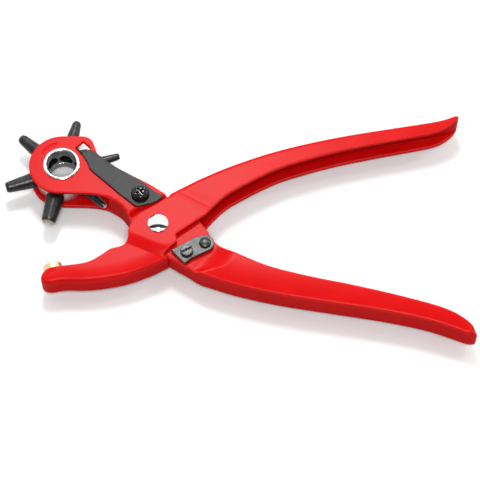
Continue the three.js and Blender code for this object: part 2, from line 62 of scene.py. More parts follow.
RIVET_R = 3.0
TURRET = (-45.63, 31.56)  # the turret's axis
TUBE_ANGLE = 18.07  # direction of the first tube, in degrees
TUBE_COUNT = 6
TUBE_PITCH = 360 / TUBE_COUNT
TIP_R = 27.6  # from the turret's axis to the tubes' cutting edges
DRUM_R = 13.2
DRUM_HALF = 5.0
DRUM_BORE_R = 7.0
BUSH_R = 8.0
SCREW = (-8.5, 15.2)
SCREW_R = 1.85
SCREW_PLAY = 0.2  # radial clearance of the screw in the cheek
LATCH_RIVET = (21.6, -9.8)
LATCH_RIVET_R = 1.5
LATCH_STUD = (13.3, -14.0)
LATCH_BOTTOM = 5.6
LATCH_TOP = 7.2
ANVIL_FACE = (-48.2, -18.0)
ANVIL_ANGLE = 103.4  # direction that the anvil faces, in degrees
ANVIL_R = 4.6

# Sheet pieces: roundings of a cut edge, of a bore's rim and of the inside of a fold.
EDGE_R = 0.35
RIM_R = EDGE_R * 0.6
FOLD_INSIDE = 0.6
FOLD_BAND = 3  # width over which an edge's rounding changes between a cut and a fold

# The meshes' fineness.
LEVER_STEP = 0.46
SMALL_STEP = 0.2
LATHE_SIDES = 96


# ---- Plane geometry ----
def curve(points, steps):
    """Smooth run through a few points (uniform Catmull-Rom, as in the CAD model), cut into steps."""
    p = np.array(points, float)
    last = len(p) - 1
    out = []
    for s in range(steps + 1):
        t = last * s / steps
        i = min(int(t), last - 1)
        u = t - i
        a, b = p[max(i - 1, 0)], p[i]
        c, d = p[i + 1], p[min(i + 2, last)]
        v0, v1 = (c - a) / 2, (d - b) / 2
        out.append((2 * b - 2 * c + v0 + v1) * u**3 + (3 * c - 3 * b - 2 * v0 - v1) * u**2 + v0 * u + b)
    return [tuple(q) for q in out]


def arc(centre, r, start, end, steps):
    """A round run from one direction to another, in degrees."""
    turns = [math.radians(start + (end - start) * i / steps) for i in range(steps + 1)]
    return [(centre[0] + r * math.cos(a), centre[1] + r * math.sin(a)) for a in turns]


def polar(centre, r, degrees):
    a = math.radians(degrees)
    return (centre[0] + r * math.cos(a), centre[1] + r * math.sin(a))


def smooth(t):
    """0 up to t = 0, 1 from t = 1, and an S between."""
    t = np.clip(t, 0, 1)
    return t * t * (3 - 2 * t)


def reach(x, y, line):
    """Distance from each point to an open run of points."""
    best = np.full(np.shape(x), 1e9)
    for (ax, ay), (bx, by) in zip(line[:-1], line[1:]):
        dx, dy = bx - ax, by - ay
        size = dx * dx + dy * dy
        if size < 1e-12:
            continue
        t = np.clip(((x - ax) * dx + (y - ay) * dy) / size, 0, 1)
        best = np.minimum(best, (x - ax - t * dx) ** 2 + (y - ay - t * dy) ** 2)
    return np.sqrt(best)


def within(x, y, loop):
    """Whether each point is inside a closed outline."""
    hit = np.zeros(np.shape(x), bool)
    for (ax, ay), (bx, by) in zip(loop, loop[1:] + loop[:1]):
        if ay == by:
            continue
        crossed = (ay > y) != (by > y)
        hit ^= crossed & (x < (bx - ax) * (y - ay) / (by - ay) + ax)
    return hit


def signed(x, y, loop):
    """Distance to a closed outline, negative inside it."""
    gap = reach(x, y, loop + loop[:1])
    return np.where(within(x, y, loop), -gap, gap)


def past(x, y, line):
    """Signed distance to a straight line, positive on the left of it."""
    (ax, ay), (bx, by) = line
    size = math.hypot(bx - ax, by - ay)
    return ((bx - ax) * (y - ay) - (by - ay) * (x - ax)) / size


def disc(x, y, centre, r):
    """Distance to a circle, negative inside it."""
    return np.hypot(x - centre[0], y - centre[1]) - r


def turned_to(x, y, degrees):
    """The same points in axes turned by an angle."""
    a = math.radians(degrees)
    return x * math.cos(a) + y * math.sin(a), y * math.cos(a) - x * math.sin(a)


def extent(outline, half):
    """Opposite corners of the box round an outline."""
    x, y = zip(*outline)
    return (min(x), min(y), -half), (max(x), max(y), half)


def column(centre, r, low, high):
    """Opposite corners of the box round an upright cylinder."""
    return (centre[0] - r, centre[1] - r, low), (centre[0] + r, centre[1] + r, high)


# ---- Solids as distance functions, negative inside ----
def both(a, b, r=0.0):
    """What is inside a and inside b, with a rounded edge of radius r where they meet."""
    if np.ndim(r) == 0 and r == 0:
        return np.maximum(a, b)
    corner = np.hypot(np.maximum(a + r, 0), np.maximum(b + r, 0))
    return np.minimum(-r, np.maximum(a, b)) + corner


def either(a, b, r=0.0):
    return -both(-a, -b, r)


def without(a, b, r=0.0):
    return both(a, -b, r)


# ---- Meshes ----
CORNERS = [(i, j, k) for i in (0, 1) for j in (0, 1) for k in (0, 1)]  # of a grid cell
MARGIN = 1.5  # cells left empty round a solid
PROBE = 0.15  # cells either way over which a slope is measured
NUDGE = 0.4  # most cells that a point is moved in one round
FLATTEST = 0.2  # least squared slope that a move is divided by
SETTLING_ROUNDS = 2


def crossed_cells(field, solid):
    """A point in every grid cell that the surface crosses, and the number of each cell's point."""
    last = np.array(field.shape) - 1
    total = np.zeros(tuple(last), np.uint8)
    for i, j, k in CORNERS:
        total += solid[i:last[0] + i, j:last[1] + j, k:last[2] + k]
    active = (total > 0) & (total < len(CORNERS))
    cells = np.argwhere(active)
    index = np.full(active.shape, -1, np.int64)
    index[active] = np.arange(len(cells))
    spot = np.zeros((len(cells), 3))
    hits = np.zeros(len(cells))
    for axis in range(3):
        along = np.eye(3, dtype=int)[axis]
        for corner in CORNERS:
            if corner[axis]:
                continue
            a = cells + corner
            b = a + along
            fa = field[a[:, 0], a[:, 1], a[:, 2]].astype(float)
            fb = field[b[:, 0], b[:, 1], b[:, 2]].astype(float)
            crossed = (fa < 0) != (fb < 0)
            share = np.where(crossed, fa / np.where(crossed, fa - fb, 1), 0)
            spot += (np.array(corner) + share[:, None] * along) * crossed[:, None]
            hits += crossed
    return cells + spot / hits[:, None], index


def crossing_quads(solid, index):
    """A quad round every grid edge that the surface crosses, facing out of the solid."""
    quads = []
    for axis in range(3):
        order = (axis, (axis + 1) % 3, (axis + 2) % 3)
        s = solid.transpose(order)
        c = index.transpose(order)
        i, j, k = np.nonzero((s[:-1] != s[1:])[:, 1:-1, 1:-1])
        j, k = j + 1, k + 1
        q = np.stack([c[i, j - 1, k - 1], c[i, j, k - 1], c[i, j, k], c[i, j - 1, k]], 1)
        turned_over = ~s[i, j, k]
        q[turned_over] = q[turned_over][:, ::-1]
        quads.append(q)
    return np.concatenate(quads)


def settle(points, value, stack, low, step):
    """Move points onto the surface, so that folds and rounded edges are followed closely."""
    rows, columns = stack.shape[1:]

    def at(x, y, z):
        u = np.clip((x - low[0]) / step, 0, rows - 1.001)
        v = np.clip((y - low[1]) / step, 0, columns - 1.001)
        i, j = u.astype(int), v.astype(int)
        u, v = u - i, v - j
        here = (stack[:, i, j] * (1 - u) + stack[:, i + 1, j] * u) * (1 - v)
        return value(here + (stack[:, i, j + 1] * (1 - u) + stack[:, i + 1, j + 1] * u) * v, z)

    eps = PROBE * step
    for _ in range(SETTLING_ROUNDS):
        x, y, z = points.T
        slope = np.stack([
            at(x + eps, y, z) - at(x - eps, y, z),
            at(x, y + eps, z) - at(x, y - eps, z),
            at(x, y, z + eps) - at(x, y, z - eps),
        ], 1) / (2 * eps)
        size = np.maximum((slope**2).sum(1), FLATTEST)
        move = -at(x, y, z)[:, None] * slope / size[:, None]
        points += np.clip(move, -NUDGE * step, NUDGE * step)


def closed_mesh(plan, value, low, high, step):
    """Quad mesh of the solid where value(plan(x, y), z) is below zero, from a grid of cells of one size.
    plan gives one or more fields over the plane, which are worked out once for all heights."""
    low = np.array(low, float) - MARGIN * step
    count = np.ceil((np.array(high, float) + MARGIN * step - low) / step).astype(int) + 1
    xs, ys, zs = (low[i] + step * np.arange(count[i]) for i in range(3))
    gx, gy = np.meshgrid(xs, ys, indexing="ij")
    plans = np.array(plan(gx.ravel(), gy.ravel()))
    field = np.empty(tuple(count), np.float32)
    for k, z in enumerate(zs):
        field[:, :, k] = value(plans, z).reshape(count[0], count[1])
    solid = field < 0
    cells, index = crossed_cells(field, solid)
    points = low + step * cells
    settle(points, value, plans.reshape(len(plans), count[0], count[1]), low, step)
    return points, crossing_quads(solid, index)


SHARPNESS = 5  # how quickly an edge counts as sharp


def convexity(points, faces):
    """How sharply each vertex stands out from its neighbours, 0 on flats and hollows and 1 at cut edges."""
    around = np.zeros_like(points)
    count = np.zeros(len(points))
    normal = np.zeros_like(points)
    corner = [points[faces[:, i]] for i in range(4)]
    face_normal = np.cross(corner[2] - corner[0], corner[3] - corner[1])
    for i in range(4):
        a, b = faces[:, i], faces[:, (i + 1) % 4]
        np.add.at(around, a, points[b])
        np.add.at(around, b, points[a])
        np.add.at(count, a, 1)
        np.add.at(count, b, 1)
        np.add.at(normal, a, face_normal)
    normal /= np.maximum(np.linalg.norm(normal, axis=1), 1e-12)[:, None]
    out = points - around / count[:, None]
    span = np.linalg.norm(points[faces[:, 0]] - points[faces[:, 1]], axis=1).mean()
    return np.clip((out * normal).sum(1) / span * SHARPNESS, 0, 1)


def add_object(name, points, faces, finish, edge=None, parts=None):
    """A named object from points in millimetres about the mid-plane."""
    mesh = bpy.data.meshes.new(name)
    raised = (np.array(points, float) + (0, 0, MID)) * MM
    mesh.from_pydata(raised.tolist(), [], [list(map(int, f)) for f in faces])
    mesh.polygons.foreach_set("use_smooth", [True] * len(mesh.polygons))
    finishes = finish if isinstance(finish, (list, tuple)) else [finish]
    for one in finishes:
        mesh.materials.append(one)
    if parts is not None:
        mesh.polygons.foreach_set("material_index", list(parts))
    if edge is not None:
        mesh.attributes.new("edge", "FLOAT", "POINT").data.foreach_set("value", np.array(edge, np.float32))
    mesh.validate()
    mesh.update()
    made = bpy.data.objects.new(name, mesh)
    bpy.context.scene.collection.objects.link(made)
    return made


def turned_attribute(made, turned):
    """Where each point is on a turned piece, for the lines that turning leaves."""
    attribute = made.data.attributes.new("turned", "FLOAT_VECTOR", "POINT")
    attribute.data.foreach_set("vector", np.array(turned, np.float32).ravel())


def solid_piece(name, plan, value, low, high, step, finish):
    """A piece from its distance function. low and high are opposite corners of its box."""
    points, quads = closed_mesh(plan, value, low, high, step)
    return add_object(name, points, quads, finish, convexity(points, quads))


ON_AXIS = 1e-6  # a radius below this is a point on the axis
CORNER_STEPS = 3
CORNER_SHARE = 0.42  # most of a side that a rounded corner takes up
STRAIGHT = 3.05  # radians, above which an angle is not a corner


def rounded(profile, r, closed):
    """A profile with its corners rounded. Returns its points and how far each one lies on a rounded corner,
    which sets where a finish has its edge tone.
    """
    n = len(profile)
    points, edge_wear_and_shade = [], []
    for i, here in enumerate(profile):
        if not closed and i in (0, n - 1):
            points.append(here)
            edge_wear_and_shade.append(0.0)
            continue
        p = np.array(here)
        a, b = np.array(profile[i - 1]) - p, np.array(profile[(i + 1) % n]) - p
        la, lb = np.linalg.norm(a), np.linalg.norm(b)
        angle = math.acos(np.clip(a @ b / (la * lb), -1, 1))
        cut = 0
        if angle < STRAIGHT:
            cut = min(r / math.tan(angle / 2), CORNER_SHARE * la, CORNER_SHARE * lb)
        if cut < 1e-3:
            points.append(here)
            edge_wear_and_shade.append(0.3)
            continue
        for s in range(CORNER_STEPS + 1):
            t = s / CORNER_STEPS
            q = (1 - t) ** 2 * (p + a / la * cut) + 2 * t * (1 - t) * p + t * t * (p + b / lb * cut)
            points.append(tuple(q))
            edge_wear_and_shade.append(1.0)
    return points, edge_wear_and_shade


def lathed(name, profile, finish, at=(0, 0), axis=None, r=0.15, inner=None):
    """A piece turned about its axis, Z unless a direction in the plane is given in degrees. The profile
    is (radius, height) points, and it is closed on itself if it doesn't start on the axis. r rounds its
    corners. Where inner(radius, height) is true, the piece has the second of its two finishes."""
    sides = LATHE_SIDES
    closed = profile[0][0] > ON_AXIS
    line, edge_wear_and_shade = rounded(profile, r, closed)
    if axis is None:
        u, v, w = Vector((1, 0, 0)), Vector((0, 1, 0)), Vector((0, 0, 1))
    else:
        w = Vector((math.cos(math.radians(axis)), math.sin(math.radians(axis)), 0))
        v = Vector((0, 0, 1))
        u = v.cross(w)
    base = Vector((at[0], at[1], 0))
    points, edge, turned, rows = [], [], [], []
    along = 0.0
    for i, (radius, height) in enumerate(line):
        if i:
            along += math.hypot(radius - line[i - 1][0], height - line[i - 1][1])
        ring = 1 if radius < ON_AXIS else sides
        rows.append((len(points), ring))
        for s in range(ring):
            a = 2 * math.pi * s / sides
            p = base + u * (radius * math.cos(a)) + v * (radius * math.sin(a)) + w * height
            points.append(tuple(p))
            edge.append(edge_wear_and_shade[i])
            turned.append((math.cos(a), math.sin(a), along))
    faces, parts = [], []
    pairs = list(zip(range(len(line)), range(1, len(line))))
    if closed:
        pairs.append((len(line) - 1, 0))
    for i, j in pairs:
        (a, na), (b, nb) = rows[i], rows[j]
        middle = ((line[i][0] + line[j][0]) / 2, (line[i][1] + line[j][1]) / 2)
        part = 1 if inner and inner(*middle) else 0
        for s in range(sides):
            t = (s + 1) % sides
            a0, a1 = (a + s, a + t) if na > 1 else (a, a)
            b0, b1 = (b + s, b + t) if nb > 1 else (b, b)
            face = [a0, b0, b1, a1]
            face = [q for k, q in enumerate(face) if q != face[k - 1]]
            if len(face) > 2:
                faces.append(face)
                parts.append(part)
    area = sum(line[i][0] * line[j][1] - line[j][0] * line[i][1] for i, j in pairs)
    if not closed:
        area += line[-1][0] * line[0][1] - line[0][0] * line[-1][1]
    if area > 0:
        faces = [f[::-1] for f in faces]
    if u.cross(v).dot(w) < 0:
        faces = [f[::-1] for f in faces]
    made = add_object(name, points, faces, finish, edge, parts)
    turned_attribute(made, turned)
    normals = made.modifiers.new("Even shading", "WEIGHTED_NORMAL")
    normals.keep_sharp = True
    return made


# ---- Finishes ----
class Nodes:
    """A short way to add nodes to a material's or a world's tree."""

    def __init__(self, owner):
        owner.use_nodes = True
        self.tree = owner.node_tree

    def node(self, kind, settings=None, **inputs):
        """A new node. Its inputs are given by name, or by number after an underscore."""
        made = self.tree.nodes.new(kind)
        for key, value in (settings or {}).items():
            setattr(made, key, value)
        for key, value in inputs.items():
            socket = made.inputs[int(key[1:])] if key[1:].isdigit() else made.inputs[key.replace("_", " ")]
            if isinstance(value, bpy.types.NodeSocket):
                self.tree.links.new(value, socket)
            else:
                socket.default_value = value
        return made

    def maths(self, operation, a, b):
        return self.node("ShaderNodeMath", {"operation": operation}, _0=a, _1=b).outputs[0]


class Finish(Nodes):
    """A material. What isn't given by nodes is fixed on its shader."""

    def __init__(self, name, colour, metallic, roughness, **fixed):
        self.material = bpy.data.materials.new(name)
        super().__init__(self.material)
        self.shader = self.tree.nodes["Principled BSDF"]
        for socket, value in {"Base Color": (*colour, 1), "Metallic": metallic, "Roughness": roughness,
                              **fixed}.items():
            self.shader.inputs[socket].default_value = value
        self.place = self.node("ShaderNodeTexCoord").outputs["Object"]

    def noise(self, scale, detail=2.0, where=None):
        return self.node("ShaderNodeTexNoise", Vector=where or self.place, Scale=scale,
                         Detail=detail).outputs["Fac"]

    def spread(self, value, low, high, start=0.3, end=0.7):
        """A 0 to 1 value stretched to run from low to high."""
        return self.node("ShaderNodeMapRange", Value=value, From_Min=start, From_Max=end, To_Min=low,
                         To_Max=high).outputs["Result"]

    def mix(self, factor, a, b):
        a, b = ((*c, 1) if isinstance(c, tuple) else c for c in (a, b))
        return self.node("ShaderNodeMix", {"data_type": "RGBA"}, _0=factor, _6=a, _7=b).outputs[2]

    def attribute(self, name, output="Fac"):
        return self.node("ShaderNodeAttribute", {"attribute_name": name}).outputs[output]

    def stretched(self, vector, scale):
        return self.node("ShaderNodeVectorMath", {"operation": "MULTIPLY"}, _0=vector,
                         _1=scale).outputs["Vector"]

    def bumps(self, *layers):
        """Bump from (height, strength, distance in mm) layers, one over the other."""
        below = None
        for height, strength, depth in layers:
            made = self.node("ShaderNodeBump", Height=height, Strength=strength, Distance=depth * MM)
            if below is not None:
                self.tree.links.new(below, made.inputs["Normal"])
            below = made.outputs["Normal"]
        self.tree.links.new(below, self.shader.inputs["Normal"])

    def give(self, socket, value):
        self.tree.links.new(value, self.shader.inputs[socket])


def red_powder_coat():
    """Gloss red powder coat: faint orange peel, a slightly uneven film, and paler on cut edges and tight
    folds, where the coat is thinner and where a highlight is painted in.
    """
    f = Finish("Red powder coat", (0.47, 0.002, 0.0025), 0.0, 0.5,
               **{"Specular IOR Level": 0.0, "Coat Weight": 0.13, "Coat Roughness": 0.3})
    cloud = f.noise(70.0, 3.0)
    film = f.mix(f.spread(cloud, 0.0, 1.0), (0.45, 0.0015, 0.002), (0.49, 0.0025, 0.003))
    # Cut edges and tight folds are painted paler: partly a thinner coat, partly a painted highlight along the
    # folds.
    thin_coat_and_painted_highlight = f.maths("MULTIPLY", f.attribute("edge"), f.spread(f.noise(900.0, 3.0), 0.25, 0.6))
    f.give("Base Color", f.mix(thin_coat_and_painted_highlight, film, (0.72, 0.055, 0.048)))
    f.give("Roughness", f.spread(f.noise(260.0, 4.0), 0.45, 0.55))
    f.bumps((f.noise(1100.0, 2.0), 0.15, 0.02), (f.noise(160.0, 1.0), 0.06, 0.15))
    return f.material


GRAIN = 1800.0  # fineness of a metal's grain


def metal(name, dark, light, roughness, lines=None, edge_wear_and_shade=None, metallic=1.0, streak=0.25, grit=0.12,
          blotch=0.03):
    """A metal finish: cloudy colour between two tones, a range of roughness, and edges in another tone, which
    is wear where it is lighter than the metal and painted shade where it is darker, as on the spring leaf and
    the latch stud. lines is "turned" for lines round a turned piece, or a scale for each axis, small along
    the lines. streak is how deep the lines are, grit how deep the grain, and blotch how uneven the gloss."""
    f = Finish(name, light, metallic, sum(roughness) / 2)
    cloud = f.noise(130.0, 4.0)
    colour = f.mix(f.spread(cloud, 0.0, 1.0), dark, light)
    if edge_wear_and_shade is not None:
        # Edges take another tone: wear where it is lighter than the metal, painted shade where it is darker.
        wear_and_shade_mask = f.maths("MULTIPLY", f.attribute("edge"), f.spread(f.noise(700.0, 4.0), 0.15, 0.85))
        colour = f.mix(wear_and_shade_mask, colour, edge_wear_and_shade)
    f.give("Base Color", colour)
    if lines == "turned":
        where = f.stretched(f.attribute("turned", "Vector"), (0.35, 0.35, 14.0))
        fine = f.noise(1.0, 3.0, where)
    else:
        where = f.stretched(f.place, lines or (1.0, 1.0, 1.0))
        fine = f.noise(1500.0 if lines else GRAIN, 3.0, where)
    gloss = f.spread(fine, roughness[0], roughness[1])
    f.give("Roughness", f.maths("ADD", gloss, f.spread(f.noise(420.0), -blotch, blotch)))
    f.bumps((fine, streak, 0.02), (f.noise(GRAIN, 2.0), grit, 0.02))
    return f.material


RED = red_powder_coat()
BLACK = metal("Black oxide, turned", (0.009, 0.009, 0.0095), (0.012, 0.012, 0.0125), (0.28, 0.36), "turned",
              edge_wear_and_shade=(0.055, 0.054, 0.053), metallic=0.7, streak=0.12, grit=0.06)
BLACK_PLAIN = metal("Black oxide", (0.012, 0.012, 0.013), (0.02, 0.02, 0.022), (0.10, 0.18),
                    edge_wear_and_shade=(0.15, 0.15, 0.15), metallic=0.75)
# The leaf's edges are painted darker than the leaf, as the shade along its side.
SPRING = metal("Blued spring steel", (0.022, 0.022, 0.0222), (0.0235, 0.0233, 0.0235), (0.43, 0.46),
               (0.25, 0.25, 3.0), edge_wear_and_shade=(0.008, 0.008, 0.008), metallic=0.9, streak=0.02, grit=0.02,
               blotch=0.008)
LATCH = metal("Satin steel plate", (0.054, 0.053, 0.054), (0.068, 0.067, 0.068), (0.38, 0.46),
              edge_wear_and_shade=(0.17, 0.165, 0.165), metallic=0.9, streak=0.08, grit=0.06)
# The stud's edges are painted darker than the stud, as a shaded outline round its head.
STUD = metal("Satin steel stud", (0.050, 0.049, 0.050), (0.064, 0.063, 0.064), (0.36, 0.44),
             edge_wear_and_shade=(0.02, 0.02, 0.02), metallic=0.9, streak=0.05, grit=0.03)
TURNED_STEEL = metal("Satin steel, turned", (0.040, 0.039, 0.040), (0.054, 0.053, 0.054), (0.32, 0.42),
                     "turned", edge_wear_and_shade=(0.08, 0.079, 0.079), metallic=0.95, streak=0.08, grit=0.05)
NICKEL = metal("Bright nickel", (0.76, 0.75, 0.74), (0.82, 0.81, 0.80), (0.08, 0.13), "turned", streak=0.02,
               grit=0.015)
ZINC = metal("Zinc plate", (0.44, 0.435, 0.43), (0.56, 0.555, 0.55), (0.30, 0.44), edge_wear_and_shade=(0.7, 0.69, 0.68))
# The bore's wall and the drilled holes in the turret are painted darker than the zinc and nickel round them,
# as the shade inside them: grey on the wall, near-black in the holes.
BORE_PAINTED_SHADE = metal("Bore wall painted shade", (0.19, 0.19, 0.195), (0.24, 0.24, 0.245), (0.42, 0.5), metallic=0.6, streak=0.1)
HOLE_PAINTED_SHADE = metal("Holes painted shade", (0.004, 0.004, 0.004), (0.007, 0.007, 0.007), (0.6, 0.7), metallic=0.7)
BRASS = metal("Brass, turned", (0.62, 0.40, 0.16), (0.76, 0.53, 0.25), (0.26, 0.38), "turned",
              edge_wear_and_shade=(0.86, 0.68, 0.42))
GROUND = metal("Ground steel", (0.66, 0.60, 0.52), (0.78, 0.72, 0.64), (0.30, 0.42), "turned", metallic=0.35)


def place(piece, body, node):
    """Say which body a piece moves with and which CAD node it stands for, which is hidden."""
    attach(piece, body)
    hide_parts(node)


# ---- Punch lever ----
PUNCH_HANDLE_WALL = curve(
    [(16, -23.4), (28.4, -28.3), (42, -32.4), (60, -36.4), (87, -41), (105, -44.2), (122.2, -48.3),
     (135, -52.9), (140.5, -55.4)], 48)
PUNCH_NOSE = curve([(140.5, -55.4), (142.6, -55.9), (143.6, -54.8), (143.3, -53.2)], 18)
PUNCH_HANDLE_EDGE = curve(
    [(143.3, -53.2), (141, -50.2), (136.8, -46.6), (131.5, -43.5), (122.8, -40.2), (105, -35.1),
     (87.2, -30.7), (69.2, -26.7), (51.2, -21.7), (37.6, -15.6), (28.4, -10.4), (24.4, -6.2), (22.4, -2.2),
     (19, 2.5), (13, 9), (6, 13.4)], 64)
NECK_EDGE = curve(
    [(4.5, 14.6), (0.5, 17.6), (-6.5, 22.2), (-15.4, 26.8), (-21.5, 29.6), (-26.5, 33.2), (-29.3, 37.6)], 24)
HEAD_R = 15.2
HEAD_EDGE = [*curve([(-30.6, 41.3), (-31.8, 44.2), (-34.6, 46.4), (-38.6, 46.8)], 12),
             *arc(TURRET, HEAD_R, 90, 262, 48)]
THROAT_EDGE = curve([(-40, 16.3), (-34, 16.15), (-28.1, 15.5), (-24.4, 14.4)], 10)
THROAT_WALL = curve(
    [(-23.4, 13.9), (-20.1, 11.9), (-17, 9.4), (-13.9, 4.9), (-12.6, 1.2), (-12.3, -2), (-11, -5.6),
     (-7.5, -9.7), (-3, -12.3), (1.8, -14.3), (5.7, -16.6), (10.3, -19.5), (15.8, -22.9)], 48)
PUNCH_WALL = [*THROAT_WALL, *PUNCH_HANDLE_WALL, *PUNCH_NOSE[1:]]
PUNCH_OUTLINE = [*THROAT_EDGE, *PUNCH_WALL, *PUNCH_HANDLE_EDGE[1:], *NECK_EDGE, *HEAD_EDGE]
WALL_START = THROAT_WALL[0]
WALL_ACROSS = (1, 1.7)  # direction of the wall's square end, clear of the tubes
WALL_END = ((WALL_START[0] + WALL_ACROSS[0], WALL_START[1] + WALL_ACROSS[1]),
            (WALL_START[0] - WALL_ACROSS[0], WALL_START[1] - WALL_ACROSS[1]))
PUNCH_INSIDE = [*PUNCH_WALL, (FAR, -FAR / 3), (FAR, FAR), (-FAR, FAR), (-FAR, 0), (WALL_START[0] - 8, 0),
                (WALL_START[0] - 1, WALL_START[1] - 2)]
# The joint is lower than the rest, so that the anvil lever's cheeks can swing over it.
RECESS = [
    (5.5, 16.6), (2.1, 13.2), (-0.2, 11.3), (-2.9, 9.65), (-4.3, 9.3), (-6.4, 8.85), (-9, 7.6), (-12.55, 4.9),
    (-13.6, 3.4), (-18, 1.5), (-18, -27), (16.1, -27), (16.1, -23.3), (24.8, -13.8), (27.4, -9.5),
    (28, -2), (28, 16.6)]
WINDOW_AT = (-36, 40.2)
WINDOW_HALF = 3.7
WINDOW = arc(WINDOW_AT, WINDOW_HALF, 0, 270, 3)
# A short arc is pressed into the cheek beside the eyelet.
MARK_R = 11.5
MARK_FROM, MARK_TO = 106, 146
MARK_HALF, MARK_EDGE, MARK_DEPTH = 0.15, 0.55, 0.3
# The step out of the recess is a ramp beside the latch and steep elsewhere.
STEP_RUN = 1.9
RAMP_FROM_X = 10
RAMP_RUN, RAMP_RUN_MORE = 4.5, 6
RAMP_LOW_Y, RAMP_GROWS_OVER = -24.5, 4
STEP_OUTSIDE = 0.7  # how far the step reaches into the recess on the sheet's outside
STEP_INSIDE_FROM, STEP_INSIDE = 0.4, 0.6
FOLD_LOW, FOLD_MORE = 0.6, 0.4  # radius of the fold in the recess, and what is added past it
# The handle's cheeks slope down towards the wall, and its nose is rounder than its fold.
CROWN = 1.3
CROWN_WIDTH = 13
CROWN_FROM, CROWN_RUN = 14, 14
NOSE_FOLD = 2.4
NOSE_FROM, NOSE_RUN = 138.5, 4


def punch_plan(x, y):
    edge = signed(x, y, PUNCH_OUTLINE)
    wall = reach(x, y, PUNCH_WALL)
    folded = smooth(1 - (wall - np.abs(edge)) / FOLD_BAND)
    recess = signed(x, y, RECESS)
    ramp = RAMP_RUN + RAMP_RUN_MORE * smooth((y - RAMP_LOW_Y) / RAMP_GROWS_OVER)
    run = np.where(x > RAMP_FROM_X, ramp, STEP_RUN)
    outside = smooth((recess + STEP_OUTSIDE) / (STEP_OUTSIDE + run))
    inside = smooth((recess - STEP_INSIDE_FROM) / (STEP_INSIDE + run))
    rise = PUNCH_HALF - PUNCH_JOINT_HALF
    crown = CROWN * np.clip(1 - wall / CROWN_WIDTH, 0, 1) ** 2 * smooth((x - CROWN_FROM) / CROWN_RUN)
    top = PUNCH_JOINT_HALF + rise * outside - crown
    hollow = PUNCH_JOINT_HALF - SHEET + rise * inside - crown
    fold = FOLD_LOW + FOLD_MORE * outside + NOSE_FOLD * smooth((x - NOSE_FROM) / NOSE_RUN)
    radius = EDGE_R + (fold - EDGE_R) * folded
    channel = np.where(within(x, y, PUNCH_INSIDE), SHEET - wall, SHEET + wall)
    channel = np.minimum(channel, past(x, y, WALL_END))
    mark = np.abs(np.hypot(x - TURRET[0], y - TURRET[1]) - MARK_R) - MARK_HALF
    turn = np.degrees(np.arctan2(y - TURRET[1], x - TURRET[0]))
    length = np.abs(turn - (MARK_FROM + MARK_TO) / 2) - (MARK_TO - MARK_FROM) / 2
    mark = np.maximum(mark, length * MARK_R * math.pi / 180)
    bores = np.minimum(disc(x, y, (0, 0), RIVET_R + RUNNING), disc(x, y, TURRET, BUSH_R + RUNNING))
    upper = np.minimum(disc(x, y, SCREW, SCREW_R + SCREW_PLAY),
                       disc(x, y, LATCH_RIVET, LATCH_RIVET_R + RUNNING))
    upper = np.minimum(upper, signed(x, y, WINDOW))
    return edge, top, hollow, radius, channel, mark, bores, upper


def punch_value(plan, z):
    edge, top, hollow, radius, channel, mark, bores, upper = plan
    height = np.abs(z) - top
    if np.ndim(z) or z > 0:
        height = height + np.where(z > 0, MARK_DEPTH * smooth(1 - mark / MARK_EDGE), 0)
    body = both(edge, height, radius)
    body = without(body, both(channel, np.abs(z) - hollow, FOLD_INSIDE), EDGE_R)
    body = without(body, bores, RIM_R)
    return without(body, both(upper, -z), RIM_R)


place(solid_piece("punch_lever_pressing", punch_plan, punch_value, *extent(PUNCH_OUTLINE, PUNCH_HALF),
                  LEVER_STEP, RED), "punch_lever", "punch_lever")

# ---- Anvil lever ----
ANVIL_HANDLE_WALL = curve(
    [(5.2, 16.1), (9.4, 18.8), (18.6, 24.1), (32.5, 30.9), (51.3, 38.2), (70.2, 43.7), (89, 48), (108, 51.5),
     (127, 54.9), (134.2, 56.6), (139.6, 58.8)], 48)
ANVIL_HANDLE_EDGE = curve(
    [(21.6, 4.7), (24, 7.6), (28.3, 12.4), (32.9, 16.4), (42.2, 22.2), (51.5, 27.4), (60.9, 31.5),
     (79.7, 37.5), (98.5, 42.1), (117.4, 46.1), (126.9, 48.2), (132.2, 50), (136.3, 52.6), (139.4, 55.4),
     (141.2, 58)], 60)
LOBE_EDGE = curve(
    [(4.4, 14.2), (2, 12.5), (-0.2, 10.8), (-3.9, 8.5), (-7, 6.6), (-9.7, 4.4), (-11.7, 1.7), (-13, -0.9),
     (-13.7, -3.5)], 24)
CUT_EDGE = [(2.7, -15.2), (4.8, -12.6), (6.6, -11), (8.8, -9.2), (8.7, -7.9), (8.2, -5.4), (19.2, 2.9)]
JAW_EDGE = curve(
    [(-13.7, -3.5), (-13.9, -7.4), (-16.2, -10.6), (-21.6, -12.3), (-25.3, -15.1), (-30.4, -18.4),
     (-35.1, -19.8), (-43.2, -20.9), (-48, -21.6), (-50.6, -22.2)], 48)
JAW_WALL = curve(
    [(-51.4, -22.6), (-52.6, -24.8), (-52.7, -27.1), (-51.3, -29), (-48.1, -29.6), (-43.5, -28.7),
     (-40.3, -28.5), (-31.2, -28.5), (-22, -27.2), (-12.9, -24.9), (-3.8, -21.2), (0.7, -18.9),
     (4.7, -16.5)], 60)
ANVIL_OUTLINE = [*ANVIL_HANDLE_WALL[::-1], *LOBE_EDGE, *JAW_EDGE[1:], *JAW_WALL, *CUT_EDGE,
                 *ANVIL_HANDLE_EDGE]
JAW_CREASE = ((1.6, -16), (-13.6, -9.3))  # the jaw is lower from here on
JAW_INSIDE = ((1.16, -14.7), (-14.04, -8))  # and so is its inside, clear of the punch lever
HANDLE_CREASE = ((15.4, 13.5), (24.7, 8.2))
